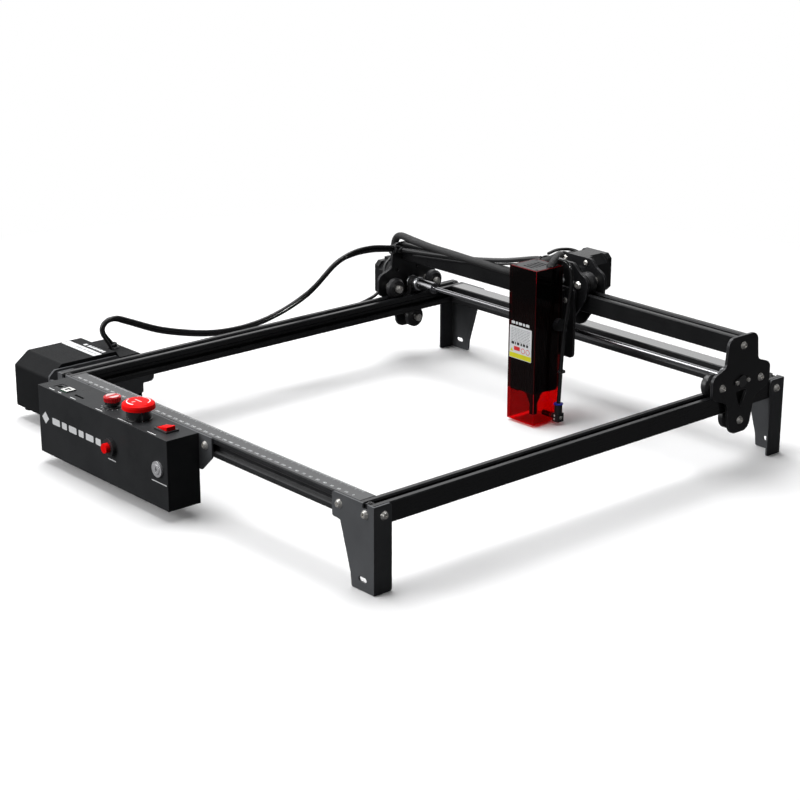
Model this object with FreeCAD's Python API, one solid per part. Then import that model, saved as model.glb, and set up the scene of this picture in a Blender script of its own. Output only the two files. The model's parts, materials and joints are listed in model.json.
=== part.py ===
import FreeCAD, Part
import math
import os

# Desktop gantry laser cutter. Millimetres, +Z up, the base stands on z = 0.
# Modelled in a bench frame: x runs along the front rail to the right, y from the front
# legs to the rear legs. ORIGIN_SHIFT then puts the origin at the bottom centre of the whole.
V = FreeCAD.Vector
ORIGIN_SHIFT = V(308.9, -259.5, 0.0)
RIGHT, LEFT = V(1, 0, 0), V(-1, 0, 0)
BACK, FORWARD = V(0, 1, 0), V(0, -1, 0)
UP = V(0, 0, 1)

# frame
LEFT_FACE, REAR_FACE = -508.0, 563.0  # outer faces of the legs; the right and front are at 0
SHEET = 2.0                           # leg sheet thickness
LEG_H = 83.5
RAIL = 20.0                           # side of the square rail section
RAIL_Z = LEG_H - RAIL / 2
RAIL_INSET = SHEET + RAIL / 2         # leg face to rail centre
LEFT_RAIL_X, RIGHT_RAIL_X = LEFT_FACE + RAIL_INSET, -RAIL_INSET
FRONT_RAIL_Y, REAR_RAIL_Y = RAIL_INSET, REAR_FACE - RAIL_INSET
LEG_SCREW_X = 47.6                    # outer face to the far screw of a leg
MIDDLE_SCREW_X = -247.4
SCREW_HOLE_R = 2.7
CLEAR = 0.06                          # radial clearance of a bore around its pin

# gantry
GANTRY_Y = 489.0
BEAM_Z = 133.25
PLATE_T = 3.0
PLATE_IN_RIGHT, PLATE_IN_LEFT = 0.5, -508.5
AXLE_R, AXLE_HOLE_R = 2.5, 2.6
WHEEL_R, WHEEL_W = 12.0, 10.2
WHEEL_SIDE = WHEEL_W / 2 + 0.1        # wheel centre to the spacer or nut beside it
ROD_Z, ROD_R = 95.5, 2.5
GANTRY_AXLES = ((GANTRY_Y - 30.0, 93.5), (GANTRY_Y + 30.0, 93.5), (GANTRY_Y, 53.5))  # y, z
MOTOR_SCREW = 15.5                    # motor axis to its screws, sideways and up
BEARING_SCREW = 8.6

# carriage
CARRIAGE_X = -244.5
FRONT_PLATE_Y, REAR_PLATE_Y = 474.0, 501.0  # front faces of the two plates
LOWER_AXLE_Z = 113.2
CARRIAGE_AXLES = ((CARRIAGE_X - 30.0, 153.3), (CARRIAGE_X + 30.0, 153.3),
                  (CARRIAGE_X, LOWER_AXLE_Z))  # x, z
X_MOTOR_Z = 155.2

PARTS = {}


def piece(build):
    """Build a piece at once and store it under the name of its function."""
    PARTS[build.__name__] = build()
    return build


# ------------------------------------------------------------------ shape helpers
def box(x0, x1, y0, y1, z0, z1):
    return Part.makeBox(x1 - x0, y1 - y0, z1 - z0, V(x0, y0, z0))


def around(centre, half):
    return centre - half, centre + half


def cylinder(base, axis, radius, length):
    return Part.makeCylinder(radius, length, V(*base), axis)


def ring(base, axis, radius, bore, length):
    return cylinder(base, axis, radius, length).cut(
        cylinder(V(*base) - axis, axis, bore, length + 2.0))


def fuse_all(shapes):
    return shapes[0].fuse(shapes[1:]).removeSplitter()


def cut_all(shape, tools):
    """Cut the tools away one after another."""
    for tool in tools:
        shape = shape.cut(tool)
    return shape


def circle_points(radius, count):
    angles = [2 * math.pi * k / count for k in range(count)]
    return [(radius * math.cos(a), radius * math.sin(a)) for a in angles]


def polygon_face(points):
    return Part.Face(Part.makePolygon(points + points[:1]))


def in_space(plane, u, v, w):
    """Point (u, v) of the plane "yz", "xz" or "xy", at w along its normal."""
    if plane == "yz":
        return V(w, u, v)
    if plane == "xz":
        return V(u, w, v)
    return V(u, v, w)


def extrude(plane, outline, start, end):
    """Closed outline of (u, v) or (u, v, fillet radius) points, pushed from start to end."""
    count = len(outline)
    corners = []  # arc start, arc middle, arc end
    for i, point in enumerate(outline):
        radius = point[2] if len(point) > 2 else 0.0
        corner = V(point[0], point[1], 0)
        to_last = V(*outline[i - 1][:2], 0) - corner
        to_next = V(*outline[(i + 1) % count][:2], 0) - corner
        to_last.normalize()
        to_next.normalize()
        if radius > 0:
            half_angle = to_last.getAngle(to_next) / 2.0
            setback = radius / math.tan(half_angle)
            bisector = to_last + to_next
            bisector.normalize()
            middle = corner + bisector * (radius / math.sin(half_angle) - radius)
            corners.append((corner + to_last * setback, middle, corner + to_next * setback))
        else:
            corners.append((corner, None, corner))

    def placed(point):
        return in_space(plane, point.x, point.y, start)

    edges = []
    for i, (first, middle, last) in enumerate(corners):
        if middle is not None:
            edges.append(Part.Arc(placed(first), placed(middle), placed(last)).toShape())
        following = corners[(i + 1) % count][0]
        if (following - last).Length > 1e-6:
            edges.append(Part.makeLine(placed(last), placed(following)))
    return Part.Face(Part.Wire(edges)).extrude(in_space(plane, 0, 0, end - start))


def slot(plane, u0, u1, v, half, start, end):
    """Round-ended slot along u; the radius stays just under half to leave short flats."""
    radius = half * 0.999
    corners = ((u0, v - half), (u1, v - half), (u1, v + half), (u0, v + half))
    return extrude(plane, [(*corner, radius) for corner in corners], start, end)


def pipe(points, radius):
    """Round cord along a smooth curve through the points."""
    curve = Part.BSplineCurve()
    curve.interpolate([V(*point) for point in points])
    edge = curve.toShape()
    tangent = edge.tangentAt(edge.FirstParameter)
    circle = Part.Wire([Part.makeCircle(radius, V(*points[0]), tangent)])
    return Part.Wire([edge]).makePipeShell([circle], True, False)


def screw(seat, axis, shank, radius=2.45, head_r=4.4, head_h=2.6):
    """Button head standing on the seat along the axis; the shank runs back from it."""
    seat = V(*seat)
    head = Part.makeCone(head_r, head_r * 0.62, head_h, seat, axis)
    socket = cylinder(seat + axis * (head_h * 0.42), axis, 1.5, head_h * 0.62)
    stem = cylinder(seat - axis * shank, axis, radius, shank)
    return head.fuse(stem).removeSplitter().cut(socket)


# one side of the slotted section, (u, v) from its centre, side facing +v
SECTION_SIDE = [(-9.0, 10), (-4.6, 10), (-3.1, 8.5), (-3.1, 8.1), (-5.5, 8.1), (-5.5, 6.6),
                (-2.9, 4.0), (2.9, 4.0), (5.5, 6.6), (5.5, 8.1), (3.1, 8.1), (3.1, 8.5),
                (4.6, 10), (9.0, 10)]


def slotted_bar(along, across, z, start, end, plain_side):
    """20 x 20 section centred on (across, z). The plain side is 0 for +z, 1 for +across,
    2 for -z, 3 for -across."""
    outline = []
    for k, (c, s) in enumerate(((1, 0), (0, -1), (-1, 0), (0, 1))):
        side = [SECTION_SIDE[0], SECTION_SIDE[-1]] if k == plain_side else SECTION_SIDE
        outline += [(across + c * u - s * v, z + s * u + c * v) for u, v in side]
    plane, axis = ("xz", BACK) if along == "y" else ("yz", RIGHT)
    bore = cylinder(in_space(plane, across, z, start - 1), axis, 2.5, end - start + 2)
    return extrude(plane, outline, start, end).cut(bore)


# ------------------------------------------------------------------ rails
def cross_rail(y):
    return slotted_bar("x", y, RAIL_Z, LEFT_RAIL_X + RAIL / 2, RIGHT_RAIL_X - RAIL / 2, 0)


def side_rail(x, plain_side):
    rail = slotted_bar("y", x, RAIL_Z, SHEET, REAR_FACE - SHEET, plain_side)
    return cut_all(rail, [cylinder((x - 11.0, y, RAIL_Z), RIGHT, SCREW_HOLE_R, 22.0)
                          for y in (FRONT_RAIL_Y, REAR_RAIL_Y)])


PARTS["front_rail"] = cross_rail(FRONT_RAIL_Y)
PARTS["rear_rail"] = cross_rail(REAR_RAIL_Y)
PARTS["left_rail"] = side_rail(LEFT_RAIL_X, 3)
PARTS["right_rail"] = side_rail(RIGHT_RAIL_X, 1)

# ------------------------------------------------------------------ legs
# sheet facing front or rear: x on the right side, z, fillet radius
LEG_OUTLINE = [(0, 0, 0), (0, LEG_H, 0), (-57, LEG_H, 3), (-57, 60, 2), (-46, 59, 1.5),
               (-32, 13, 6), (-30.5, 0, 2)]


def side_x(left, x):
    """An x of the right side, mirrored for the left."""
    return LEFT_FACE - x if left else x


def end_y(rear, y):
    """A y of the front end, mirrored for the rear."""
    return REAR_FACE - y if rear else y


def leg(left, rear):
    outline = [(side_x(left, x), z, radius) for x, z, radius in LEG_OUTLINE]
    front = extrude("xz", outline, end_y(rear, 0), end_y(rear, SHEET))
    y0, y1 = sorted((end_y(rear, -1.0), end_y(rear, SHEET + 1)))
    x0, x1 = sorted((side_x(left, -21.0), side_x(left, -10.0)))
    front = front.cut(slot("xz", x0, x1, 10.7, 2.5, y0, y1))
    near, far = end_y(rear, 0), end_y(rear, 21.0)
    side = extrude("yz", [(near, 0), (near, LEG_H), (far, LEG_H, 3), (far, 0, 2)],
                   side_x(left, 0), side_x(left, -SHEET))
    x0, x1 = around(side_x(left, -RAIL_INSET), 3.2)
    notch = extrude("xz", [(x0, 85.0), (x1, 85.0), (x1, 78.4, 1.6), (x0, 78.4, 1.6)], y0, y1)
    holes = [cylinder((side_x(left, -x), y0, RAIL_Z), BACK, SCREW_HOLE_R, SHEET + 2)
             for x in (LEG_SCREW_X, RAIL_INSET)]
    side_hole_x = min(side_x(left, 0), side_x(left, -SHEET)) - 1
    holes.append(cylinder((side_hole_x, end_y(rear, RAIL_INSET), RAIL_Z),
                          RIGHT, SCREW_HOLE_R, SHEET + 2))
    return cut_all(fuse_all([front, side]), [notch] + holes)


PARTS["leg_front_left"] = leg(left=True, rear=False)
PARTS["leg_front_right"] = leg(left=False, rear=False)
PARTS["leg_rear_left"] = leg(left=True, rear=True)
PARTS["leg_rear_right"] = leg(left=False, rear=True)


def sliding_nut(x, face_y, inward):
    """Round nut in a rail slot, set in from the leg face."""
    return ring((x, face_y + inward.y * 4.2, RAIL_Z), inward, 4.6, 2.5, 1.6)


@piece
def frame_screws():
    screws = []
    for left in (True, False):
        sideways = LEFT if left else RIGHT
        far_x = side_x(left, -LEG_SCREW_X)
        for rear in (True, False):
            face_y = end_y(rear, 0.0)
            outward, inward = (BACK, FORWARD) if rear else (FORWARD, BACK)
            screws += [
                screw((far_x, face_y, RAIL_Z), outward, 8.0),
                screw((side_x(left, -RAIL_INSET), face_y, RAIL_Z), outward, 8.6),
                screw((side_x(left, 0.0), end_y(rear, RAIL_INSET), RAIL_Z), sideways, 34.0),
                sliding_nut(far_x, face_y, inward)]
    screws += [screw((MIDDLE_SCREW_X, 0.0, RAIL_Z), FORWARD, 8.0),
               sliding_nut(MIDDLE_SCREW_X, 0.0, BACK)]
    return Part.makeCompound(screws)


# belts lie in the top slots of the side rails and of the gantry beam
BELT_HALF_W = 3.0
BELT_BOTTOM, BELT_TOP = 4.1, 5.4  # above the rail or beam centre


@piece
def y_belts():
    return Part.makeCompound([
        box(*around(x, BELT_HALF_W), 3.0, 560.0, RAIL_Z + BELT_BOTTOM, RAIL_Z + BELT_TOP)
        for x in (LEFT_RAIL_X, RIGHT_RAIL_X)])


# ------------------------------------------------------------------ control box
BOX_X0, BOX_X1, BOX_Y0 = -485.5, -257.5, -37.5
BOX_Z0, BOX_Z1 = 11.5, LEG_H
BOX_WALL = 1.5
BOX_IN_X = (BOX_X0 + BOX_WALL, BOX_X1 - BOX_WALL)
BOX_IN_Z = (BOX_Z0 + BOX_WALL, BOX_Z1 - BOX_WALL)
CONTROL_Y = -19.0                     # knob and stop switch
KNOB_X, STOP_X = -376.0, -330.0
ROCKER_X, ROCKER_Y = -284.5, -18.5
ROCKER_PIN_Z, ROCKER_PIN_R = 80.5, 1.5
BUTTON_X, BUTTON_Z = -353.0, 52.0
KEY_X, KEY_Z = -272.8, 51.4
PLUG_R = 5.0                          # stop plunger, start button and key barrel


@piece
def control_box_shell():
    shell = box(BOX_X0, BOX_X1, BOX_Y0, 0.0, BOX_Z0, BOX_Z1)
    top = (80.0, 85.0)  # z span of the openings in the top wall
    openings = [
        box(*BOX_IN_X, BOX_Y0 + BOX_WALL, 1.0, *BOX_IN_Z),
        cylinder((STOP_X, CONTROL_Y, top[0]), UP, 11.0, 5),
        cylinder((KNOB_X, CONTROL_Y, top[0]), UP, 4.6, 5),
        box(*around(ROCKER_X, 9.6), *around(ROCKER_Y, 6.6), *top),
        box(-470.4, -460.4, -28.6, -17.4, *top),
        box(-455.4, -442.6, -30.6, -18.2, *top),
        box(-432.0, -416.0, -28.6, -25.4, *top),
        cylinder((BUTTON_X, BOX_Y0 - 1, BUTTON_Z), BACK, 8.0, 4),
        cylinder((KEY_X, BOX_Y0 - 1, KEY_Z), BACK, 7.0, 4)]
    vent_x, vent_pitch, vent_length = -460.0, 16, 8.0
    for k in range(9):
        x = vent_x + vent_pitch * k
        openings.append(slot("xy", x, x + vent_length, -19.0, 1.5, BOX_Z0 - 1, BOX_Z0 + 3))
    return cut_all(shell, openings)


@piece
def control_box_back():
    panel = box(*BOX_IN_X, -BOX_WALL, 0.0, *BOX_IN_Z)
    flange = extrude("xz", [(-449.0, LEG_H), (-237.0, LEG_H, 1.5), (-237.0, 63.3, 1.5),
                            (-254.0, 47.0, 1.5), (-259.5, 47.0), (-259.5, 63.3, 2),
                            (-449.0, 63.3)], 0.0, 2.0)
    return cut_all(fuse_all([panel, flange]), [
        cylinder((LEFT_FACE + LEG_SCREW_X, -5, RAIL_Z), BACK, 5.0, 5.5),
        cylinder((MIDDLE_SCREW_X, -1, RAIL_Z), BACK, SCREW_HOLE_R, 4)])


@piece
def control_board():
    face_y = -8.0  # front face of the board; everything stands forward of it
    board = fuse_all([
        box(-480.0, -366.0, face_y, -6.4, 18.0, 79.0),
        box(-470.2, -460.6, -28.4, face_y, 68.0, 81.8),
        box(-470.2, -460.6, -28.4, -17.6, 81.0, 83.0),
        box(-455.0, -443.0, -30.2, face_y, 66.0, 81.8),
        box(-455.0, -443.0, -30.2, -18.4, 81.0, 84.3),
        box(-433.0, -415.0, -29.0, face_y, 60.0, 81.5),
        box(-382.0, -370.0, -25.0, face_y, 73.0, 81.5),
        cylinder((KNOB_X, CONTROL_Y, 80.0), UP, 4.5, 6.5),
        box(-475.0, -459.0, -13.0, face_y, 24.0, 40.0),
        box(-452.0, -436.0, -13.0, face_y, 24.0, 40.0),
        box(-426.0, -414.0, -10.0, face_y, 26.0, 38.0),
        cylinder((-404.0, face_y, 30.0), FORWARD, 5.0, 12.0),
        cylinder((-388.0, face_y, 30.0), FORWARD, 5.0, 12.0)])
    # square recess with a block in it, then a round recess with a pin in it
    board = board.cut(box(-453.4, -444.6, -28.6, -19.8, 75.0, 85.0))
    board = board.fuse(box(-451.4, -446.6, -26.4, -22.0, 74.0, 82.5))
    board = board.cut(cylinder((-465.4, -23.0, 74.0), UP, 3.2, 12))
    board = board.fuse(cylinder((-465.4, -23.0, 73.0), UP, 1.1, 8.5))
    # thin slit, and the bore of the knob shaft
    board = board.cut(box(-430.5, -417.5, -28.0, -26.0, 66.0, 85.0))
    return board.cut(cylinder((KNOB_X, CONTROL_Y, 75.0), UP, 3.05, 14))


@piece
def power_knob():
    # radius, bottom z, length
    steps = ((7.9, 86.7, 7.6), (8.75, 89.9, 4.4), (3.0, 76.0, 12.0), (7.6, 94.3, 0.7))
    knob = fuse_all([cylinder((KNOB_X, CONTROL_Y, z), UP, r, length)
                     for r, z, length in steps])
    return cut_all(knob, [cylinder((KNOB_X + x, CONTROL_Y + y, 86.0), UP, 0.65, 8.0)
                          for x, y in circle_points(8.95, 24)])


CAP_PIN_R = 2.0


@piece
def stop_switch_body():
    body = fuse_all([cylinder((STOP_X, CONTROL_Y, BOX_Z1), UP, 12.5, 11.2),
                     cylinder((STOP_X, CONTROL_Y, 58.0), UP, 10.9, 26.0),
                     box(*around(STOP_X, 11.0), *around(CONTROL_Y, 10.0), 44.0, 62.0)])
    return body.cut(cylinder((STOP_X, CONTROL_Y, 56.0), UP, PLUG_R + CLEAR, 50))


@piece
def stop_plunger():
    stem = cylinder((STOP_X, CONTROL_Y, 62.0), UP, PLUG_R, 37.3)
    return stem.cut(cylinder((STOP_X, CONTROL_Y, 91.3), UP, CAP_PIN_R + CLEAR, 10))


# half section of the mushroom cap: radius, z
CAP_SECTION = [(0, 101.8), (9.0, 101.7), (13.5, 101.1), (16.0, 99.3), (16.5, 97.3),
               (16.5, 94.4), (13.2, 94.4), (13.2, 99.4), (CAP_PIN_R, 99.4),
               (CAP_PIN_R, 92.3), (0, 92.3)]


@piece
def stop_cap():
    face = polygon_face([V(STOP_X + radius, CONTROL_Y, z) for radius, z in CAP_SECTION])
    return face.revolve(V(STOP_X, CONTROL_Y, 0), UP, 360)


@piece
def rocker_housing():
    housing = fuse_all([box(-295.0, -274.0, -26.0, -11.0, BOX_Z1, 85.3),
                        box(-294.0, -275.0, -25.0, -12.0, 62.0, 83.6)])
    well_y = around(ROCKER_Y, 5.3)
    return cut_all(housing, [
        box(*around(ROCKER_X, 9.7), *well_y, 70.5, 90),
        cylinder((ROCKER_X, -24.8, ROCKER_PIN_Z), BACK, ROCKER_PIN_R + CLEAR, 12.6),
        box(*around(ROCKER_X, 9.0), *well_y, 70.0, 75)])


@piece
def rocker():
    body = extrude("xz", [(-292.5, 79.4, 1), (-288.0, 74.5, 2), (-281.0, 74.5, 2),
                          (-276.5, 79.4, 1), (-276.5, 89.2, 0.8), (-292.5, 85.6, 0.4)],
                   *around(ROCKER_Y, 5.1))
    pin = cylinder((ROCKER_X, -24.7, ROCKER_PIN_Z), BACK, ROCKER_PIN_R, 12.4)
    return body.fuse(pin).removeSplitter()


@piece
def button_housing():
    housing = fuse_all([cylinder((BUTTON_X, BOX_Y0, BUTTON_Z), FORWARD, 9.0, 4.4),
                        cylinder((BUTTON_X, BOX_Y0, BUTTON_Z), BACK, 7.9, 20.0)])
    return housing.cut(cylinder((BUTTON_X, -43.0, BUTTON_Z), BACK, PLUG_R + CLEAR, 20))


@piece
def start_button():
    return fuse_all([cylinder((BUTTON_X, -38.0, BUTTON_Z), FORWARD, PLUG_R, 8.6),
                     cylinder((BUTTON_X, -38.1, BUTTON_Z), BACK, PLUG_R, 8.0)])


@piece
def key_lock_body():
    body = fuse_all([cylinder((KEY_X, BOX_Y0, KEY_Z), FORWARD, 8.0, 2.2),
                     cylinder((KEY_X, BOX_Y0, KEY_Z), BACK, 6.9, 24.0)])
    return body.cut(cylinder((KEY_X, -41.0, KEY_Z), BACK, PLUG_R + CLEAR, 26.0))


@piece
def key_barrel():
    return cut_all(cylinder((KEY_X, -40.4, KEY_Z), BACK, PLUG_R, 24.0), [
        box(*around(KEY_X, 0.6), -41, -30, *around(KEY_Z, 2.8)),
        cylinder((KEY_X, -41.0, KEY_Z), BACK, 1.3, 8.0)])


# ------------------------------------------------------------------ air pump
PUMP_X0, PUMP_X1 = -624.0, -555.5
PUMP_WALL = 2.0
OUTLET_X, OUTLET_Y = -590.0, 123.5
# case outlines: y, z, fillet radius; the case is open below
PUMP_OUTER = [(17.0, 13.5, 1.5), (17.0, 60.5, 3.0), (34.5, 73.6, 4.0), (104.0, 73.6, 3.0),
              (108.5, 66.0, 2.0), (136.0, 66.0, 2.5), (136.0, 13.5, 1.5)]
PUMP_INNER = [(19.0, 12.5), (19.0, 59.6, 2.0), (35.2, 71.6, 3.0), (103.0, 71.6, 2.0),
              (107.3, 64.0, 2.0), (134.0, 64.0, 1.5), (134.0, 12.5)]


@piece
def pump_case():
    case = extrude("yz", PUMP_OUTER, PUMP_X0, PUMP_X1)
    openings = [extrude("yz", PUMP_INNER, PUMP_X0 + PUMP_WALL, PUMP_X1 - PUMP_WALL),
                cylinder((OUTLET_X, OUTLET_Y, 60.0), UP, 3.6, 8.0)]
    for k in range(7):  # upright slits in the left wall
        y = 55.0 + 7 * k
        openings.append(box(PUMP_X0 - 1, PUMP_X0 + 3, y, y + 3.0, 24.0, 44.0))
    return cut_all(case, openings)


@piece
def pump_motor():
    motor = fuse_all([box(PUMP_X0 + 2.2, PUMP_X1 - 2.2, 19.2, 133.8, 13.5, 15.5),
                      cylinder((OUTLET_X, 40.0, 34.0), BACK, 13.0, 50.0),
                      box(*around(OUTLET_X, 14.0), 90.0, 130.0, 15.0, 50.0),
                      box(*around(OUTLET_X, 8.0), 50.0, 76.0, 15.0, 26.0),
                      cylinder((OUTLET_X, OUTLET_Y, 49.0), UP, 3.4, 17.6)])
    return motor.cut(cylinder((OUTLET_X, OUTLET_Y, 46.0), UP, 1.6, 24))


@piece
def pump_bracket():
    x0, bend_x = PUMP_X1 + 0.1, LEFT_FACE - 2.2
    plate = extrude("yz", [(17.0, 20.0, 2), (17.0, 63.0, 4), (24.0, 69.5, 4), (104.0, 69.5, 3),
                           (110.0, 62.0, 3), (151.0, 62.0, 6), (151.0, 31.0, 5),
                           (136.5, 31.0, 1.5), (136.5, 20.0, 2)], x0, PUMP_X1 + 2.6)
    arm = box(x0, bend_x, 17.0, 20.0, 26.0, 60.0)
    flange = box(bend_x, LEFT_FACE - 0.05, 2.5, 20.0, 26.0, 60.0)
    return fuse_all([plate, arm, flange])


# x, y, z stations from the pump outlet up to the gantry
HOSE_PATH = [
    (-590, 123.0, 69.2), (-590.8, 117.8, 75.0), (-592, 112.4, 82.5), (-591.6, 110.6, 90.5),
    (-590, 115.6, 97.9), (-588, 125.7, 99.6), (-584, 140, 93.8), (-571, 180.3, 77.9),
    (-556, 238.4, 67.6), (-543, 296, 73.4), (-529, 348.6, 96.9), (-516, 383.4, 131.6),
    (-510, 403.0, 141.0), (-506, 429.1, 142.7), (-504.6, 455.3, 138.6), (-504.4, 471.0, 134.4)]
PARTS["air_hose"] = pipe(HOSE_PATH, 3.0)

# ------------------------------------------------------------------ gantry
PARTS["gantry_beam"] = slotted_bar("x", GANTRY_Y, BEAM_Z, PLATE_IN_LEFT, PLATE_IN_RIGHT, 3)

# y from the gantry centre, z, fillet radius
GANTRY_PLATE = [(-22.0, 143.8, 9), (22.0, 143.8, 9), (25.0, 114, 6), (45, 107, 9),
                (45, 84, 10), (21.5, 75.5, 9), (15.0, 40.5, 11), (-15.0, 40.5, 11),
                (-21.5, 75.5, 9), (-45, 84, 10), (-45, 107, 9), (-25.0, 114, 6)]
GANTRY_WINDOW = [(-9.5, 85.8, 2), (9.5, 85.8, 2), (0, 64.5, 2)]


def gantry_plate(x0, rod_hole_r):
    def slab(outline, start, end):
        return extrude("yz", [(GANTRY_Y + y, z, r) for y, z, r in outline], start, end)

    holes = [(y, z, AXLE_HOLE_R) for y, z in GANTRY_AXLES + ((GANTRY_Y, BEAM_Z),)]
    holes.append((GANTRY_Y, ROD_Z, rod_hole_r))
    return cut_all(slab(GANTRY_PLATE, x0, x0 + PLATE_T),
                   [slab(GANTRY_WINDOW, x0 - 1, x0 + PLATE_T + 1)]
                   + [cylinder((x0 - 1, y, z), RIGHT, r, PLATE_T + 2) for y, z, r in holes])


@piece
def gantry_plate_left():
    return cut_all(gantry_plate(PLATE_IN_LEFT - PLATE_T, 6.0), [
        cylinder((PLATE_IN_LEFT - 4, y, ROD_Z + MOTOR_SCREW), RIGHT, 1.7, 6)
        for y in around(GANTRY_Y, MOTOR_SCREW)])


@piece
def gantry_plate_right():
    return cut_all(gantry_plate(PLATE_IN_RIGHT, 4.0), [
        cylinder((PLATE_IN_RIGHT - 1, y, ROD_Z), RIGHT, 1.7, 6)
        for y in around(GANTRY_Y, BEARING_SCREW)])


@piece
def gantry_fasteners():
    """Each wheel has a screw, a spacer against the plate and a nut."""
    fasteners = []
    for outward, inward, inner_x, rail_x in ((RIGHT, LEFT, PLATE_IN_RIGHT, RIGHT_RAIL_X),
                                             (LEFT, RIGHT, PLATE_IN_LEFT, LEFT_RAIL_X)):
        side = outward.x
        outer_x = inner_x + side * PLATE_T
        tip_x = rail_x - side * (WHEEL_W / 2 + 4.4)
        spacer_x, nut_x = rail_x + side * WHEEL_SIDE, rail_x - side * WHEEL_SIDE
        for y, z in GANTRY_AXLES:
            fasteners += [
                screw((outer_x, y, z), outward, abs(outer_x - tip_x), AXLE_R),
                ring((inner_x, y, z), inward, 4.4, AXLE_R, abs(inner_x - spacer_x)),
                ring((nut_x, y, z), inward, 4.3, AXLE_R, 3.9)]
        fasteners.append(screw((outer_x, GANTRY_Y, BEAM_Z), outward, 16.0))
    return Part.makeCompound(fasteners)


@piece
def rod_bearing():
    outer_x = PLATE_IN_RIGHT + PLATE_T
    flange_t = 1.2
    ears = around(GANTRY_Y, BEARING_SCREW)
    bearing = fuse_all(
        [cylinder((outer_x, GANTRY_Y, ROD_Z), RIGHT, 6.4, 1.6),
         box(outer_x, outer_x + flange_t, *ears, *around(ROD_Z, 3.4))]
        + [cylinder((outer_x, y, ROD_Z), RIGHT, 3.4, flange_t) for y in ears]
        + [cylinder((PLATE_IN_RIGHT + 0.05, GANTRY_Y, ROD_Z), RIGHT, 3.95, 3.0)])
    bearing = bearing.cut(cylinder((-1, GANTRY_Y, ROD_Z), RIGHT, ROD_R + CLEAR, 4.6))
    for y in ears:  # screw heads and shanks
        bearing = bearing.fuse(cylinder((outer_x + flange_t, y, ROD_Z), RIGHT, 2.2, 1.5))
        bearing = bearing.fuse(cylinder((PLATE_IN_RIGHT, y, ROD_Z), RIGHT, 1.6, 4.3))
    return bearing.removeSplitter()


@piece
def x_belt():
    return box(-504.0, -3.0, *around(GANTRY_Y, BELT_HALF_W),
               BEAM_Z + BELT_BOTTOM, BEAM_Z + BELT_TOP)


def motor_blocks(plane, u, v, stations):
    """Two end blocks and a middle one with larger chamfers, between four stations."""
    half = 21.0
    blocks = []
    for chamfer, start, end in zip((5.0, 9.4, 5.0), stations, stations[1:]):
        flat = half - chamfer
        octagon = [(-half, -flat), (-half, flat), (-flat, half), (flat, half),
                   (half, flat), (half, -flat), (flat, -half), (-flat, -half)]
        blocks.append(extrude(plane, [(u + du, v + dv) for du, dv in octagon], start, end))
    return blocks


@piece
def y_motor():
    blocks = motor_blocks("yz", GANTRY_Y, ROD_Z, (-543.5, -536.5, -518.5, -511.5))
    connector = box(-541.0, -521.0, *around(GANTRY_Y, 8.0), ROD_Z + 20.5, ROD_Z + 24.5)
    boss = cylinder((-511.6, GANTRY_Y, ROD_Z), RIGHT, 5.9, 2.2)
    return fuse_all(blocks + [connector, boss]).cut(
        cylinder((-543.0, GANTRY_Y, ROD_Z), RIGHT, ROD_R + CLEAR, 36.0))


# x, y, z stations from the y motor along the beam to the head
SLEEVE_PATH = [
    (-526.5, 489, 121.0), (-526.2, 489, 133.0), (-523.0, 489, 142.4), (-515.0, 488.5, 148.0),
    (-504.0, 488, 149.0), (-470, 487.5, 148.5), (-420, 487, 148.4), (-370, 486, 149.2),
    (-335, 486, 154.5), (-310, 485.5, 164.0), (-290, 484.5, 176.0), (-272, 482.5, 183.5),
    (-262, 479.0, 185.0)]
PARTS["cable_sleeve"] = pipe(SLEEVE_PATH, 4.5)


def bevelled_wheel(centre, along_y=False):
    """Bevelled wheel turning about x, or about y, with a shallow groove in each side."""
    half = WHEEL_W / 2.0
    section = [(-half, 3.0), (-half, 9.4), (-2.45, WHEEL_R), (2.45, WHEEL_R),
               (half, 9.4), (half, 3.0)]
    wheel = polygon_face([V(x, radius, 0) for x, radius in section]).revolve(V(), RIGHT, 360)
    wheel = wheel.fuse(cylinder((-half, 0, 0), RIGHT, 3.4, WHEEL_W)).removeSplitter()
    wheel = cut_all(wheel, [cylinder((-half - 1, 0, 0), RIGHT, AXLE_R + CLEAR, WHEEL_W + 2)]
                    + [ring((x, 0, 0), RIGHT, 8.0, 5.2, 1.3) for x in (-half - 0.5, half - 0.8)])
    if along_y:
        wheel.rotate(V(), UP, 90)
    wheel.translate(V(*centre))
    return wheel


for side_name, wheel_x in (("left", LEFT_RAIL_X), ("right", RIGHT_RAIL_X)):
    for place, axle in zip(("front", "rear", "lower"), GANTRY_AXLES):
        PARTS[side_name + "_wheel_" + place] = bevelled_wheel((wheel_x, *axle))


def pulley(base, axis):
    """Belt pulley without teeth: flange, belt seat, then a wide hub."""
    base = V(*base)
    body = cylinder(base, axis, 8.0, 1.2).fuse(cylinder(base + axis, axis, 6.1, 7.4))
    body = body.fuse(cylinder(base + axis * 8.2, axis, 8.0, 6.6)).removeSplitter()
    return body.cut(cylinder(base - axis, axis, ROD_R, 17.0))


@piece
def y_pulleys():
    overhang = 4.6  # rail centre to the outer pulley face
    return Part.makeCompound([pulley((LEFT_RAIL_X - overhang, GANTRY_Y, ROD_Z), RIGHT),
                              pulley((RIGHT_RAIL_X + overhang, GANTRY_Y, ROD_Z), LEFT)])


@piece
def sync_rod():
    """Long rod and motor shaft, with the coupling that joins them."""
    coupling = ring((-485.0, GANTRY_Y, ROD_Z), RIGHT, 6.6, ROD_R, 25.0)
    coupling = cut_all(coupling, [cylinder((x, GANTRY_Y - 7, ROD_Z), BACK, 1.3, 3.0)
                                  for x in (-481.0, -464.0)])
    return Part.makeCompound([cylinder((-480.0, GANTRY_Y, ROD_Z), RIGHT, ROD_R, 483.0),
                              cylinder((-540.0, GANTRY_Y, ROD_Z), RIGHT, ROD_R, 58.5),
                              coupling])


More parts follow.
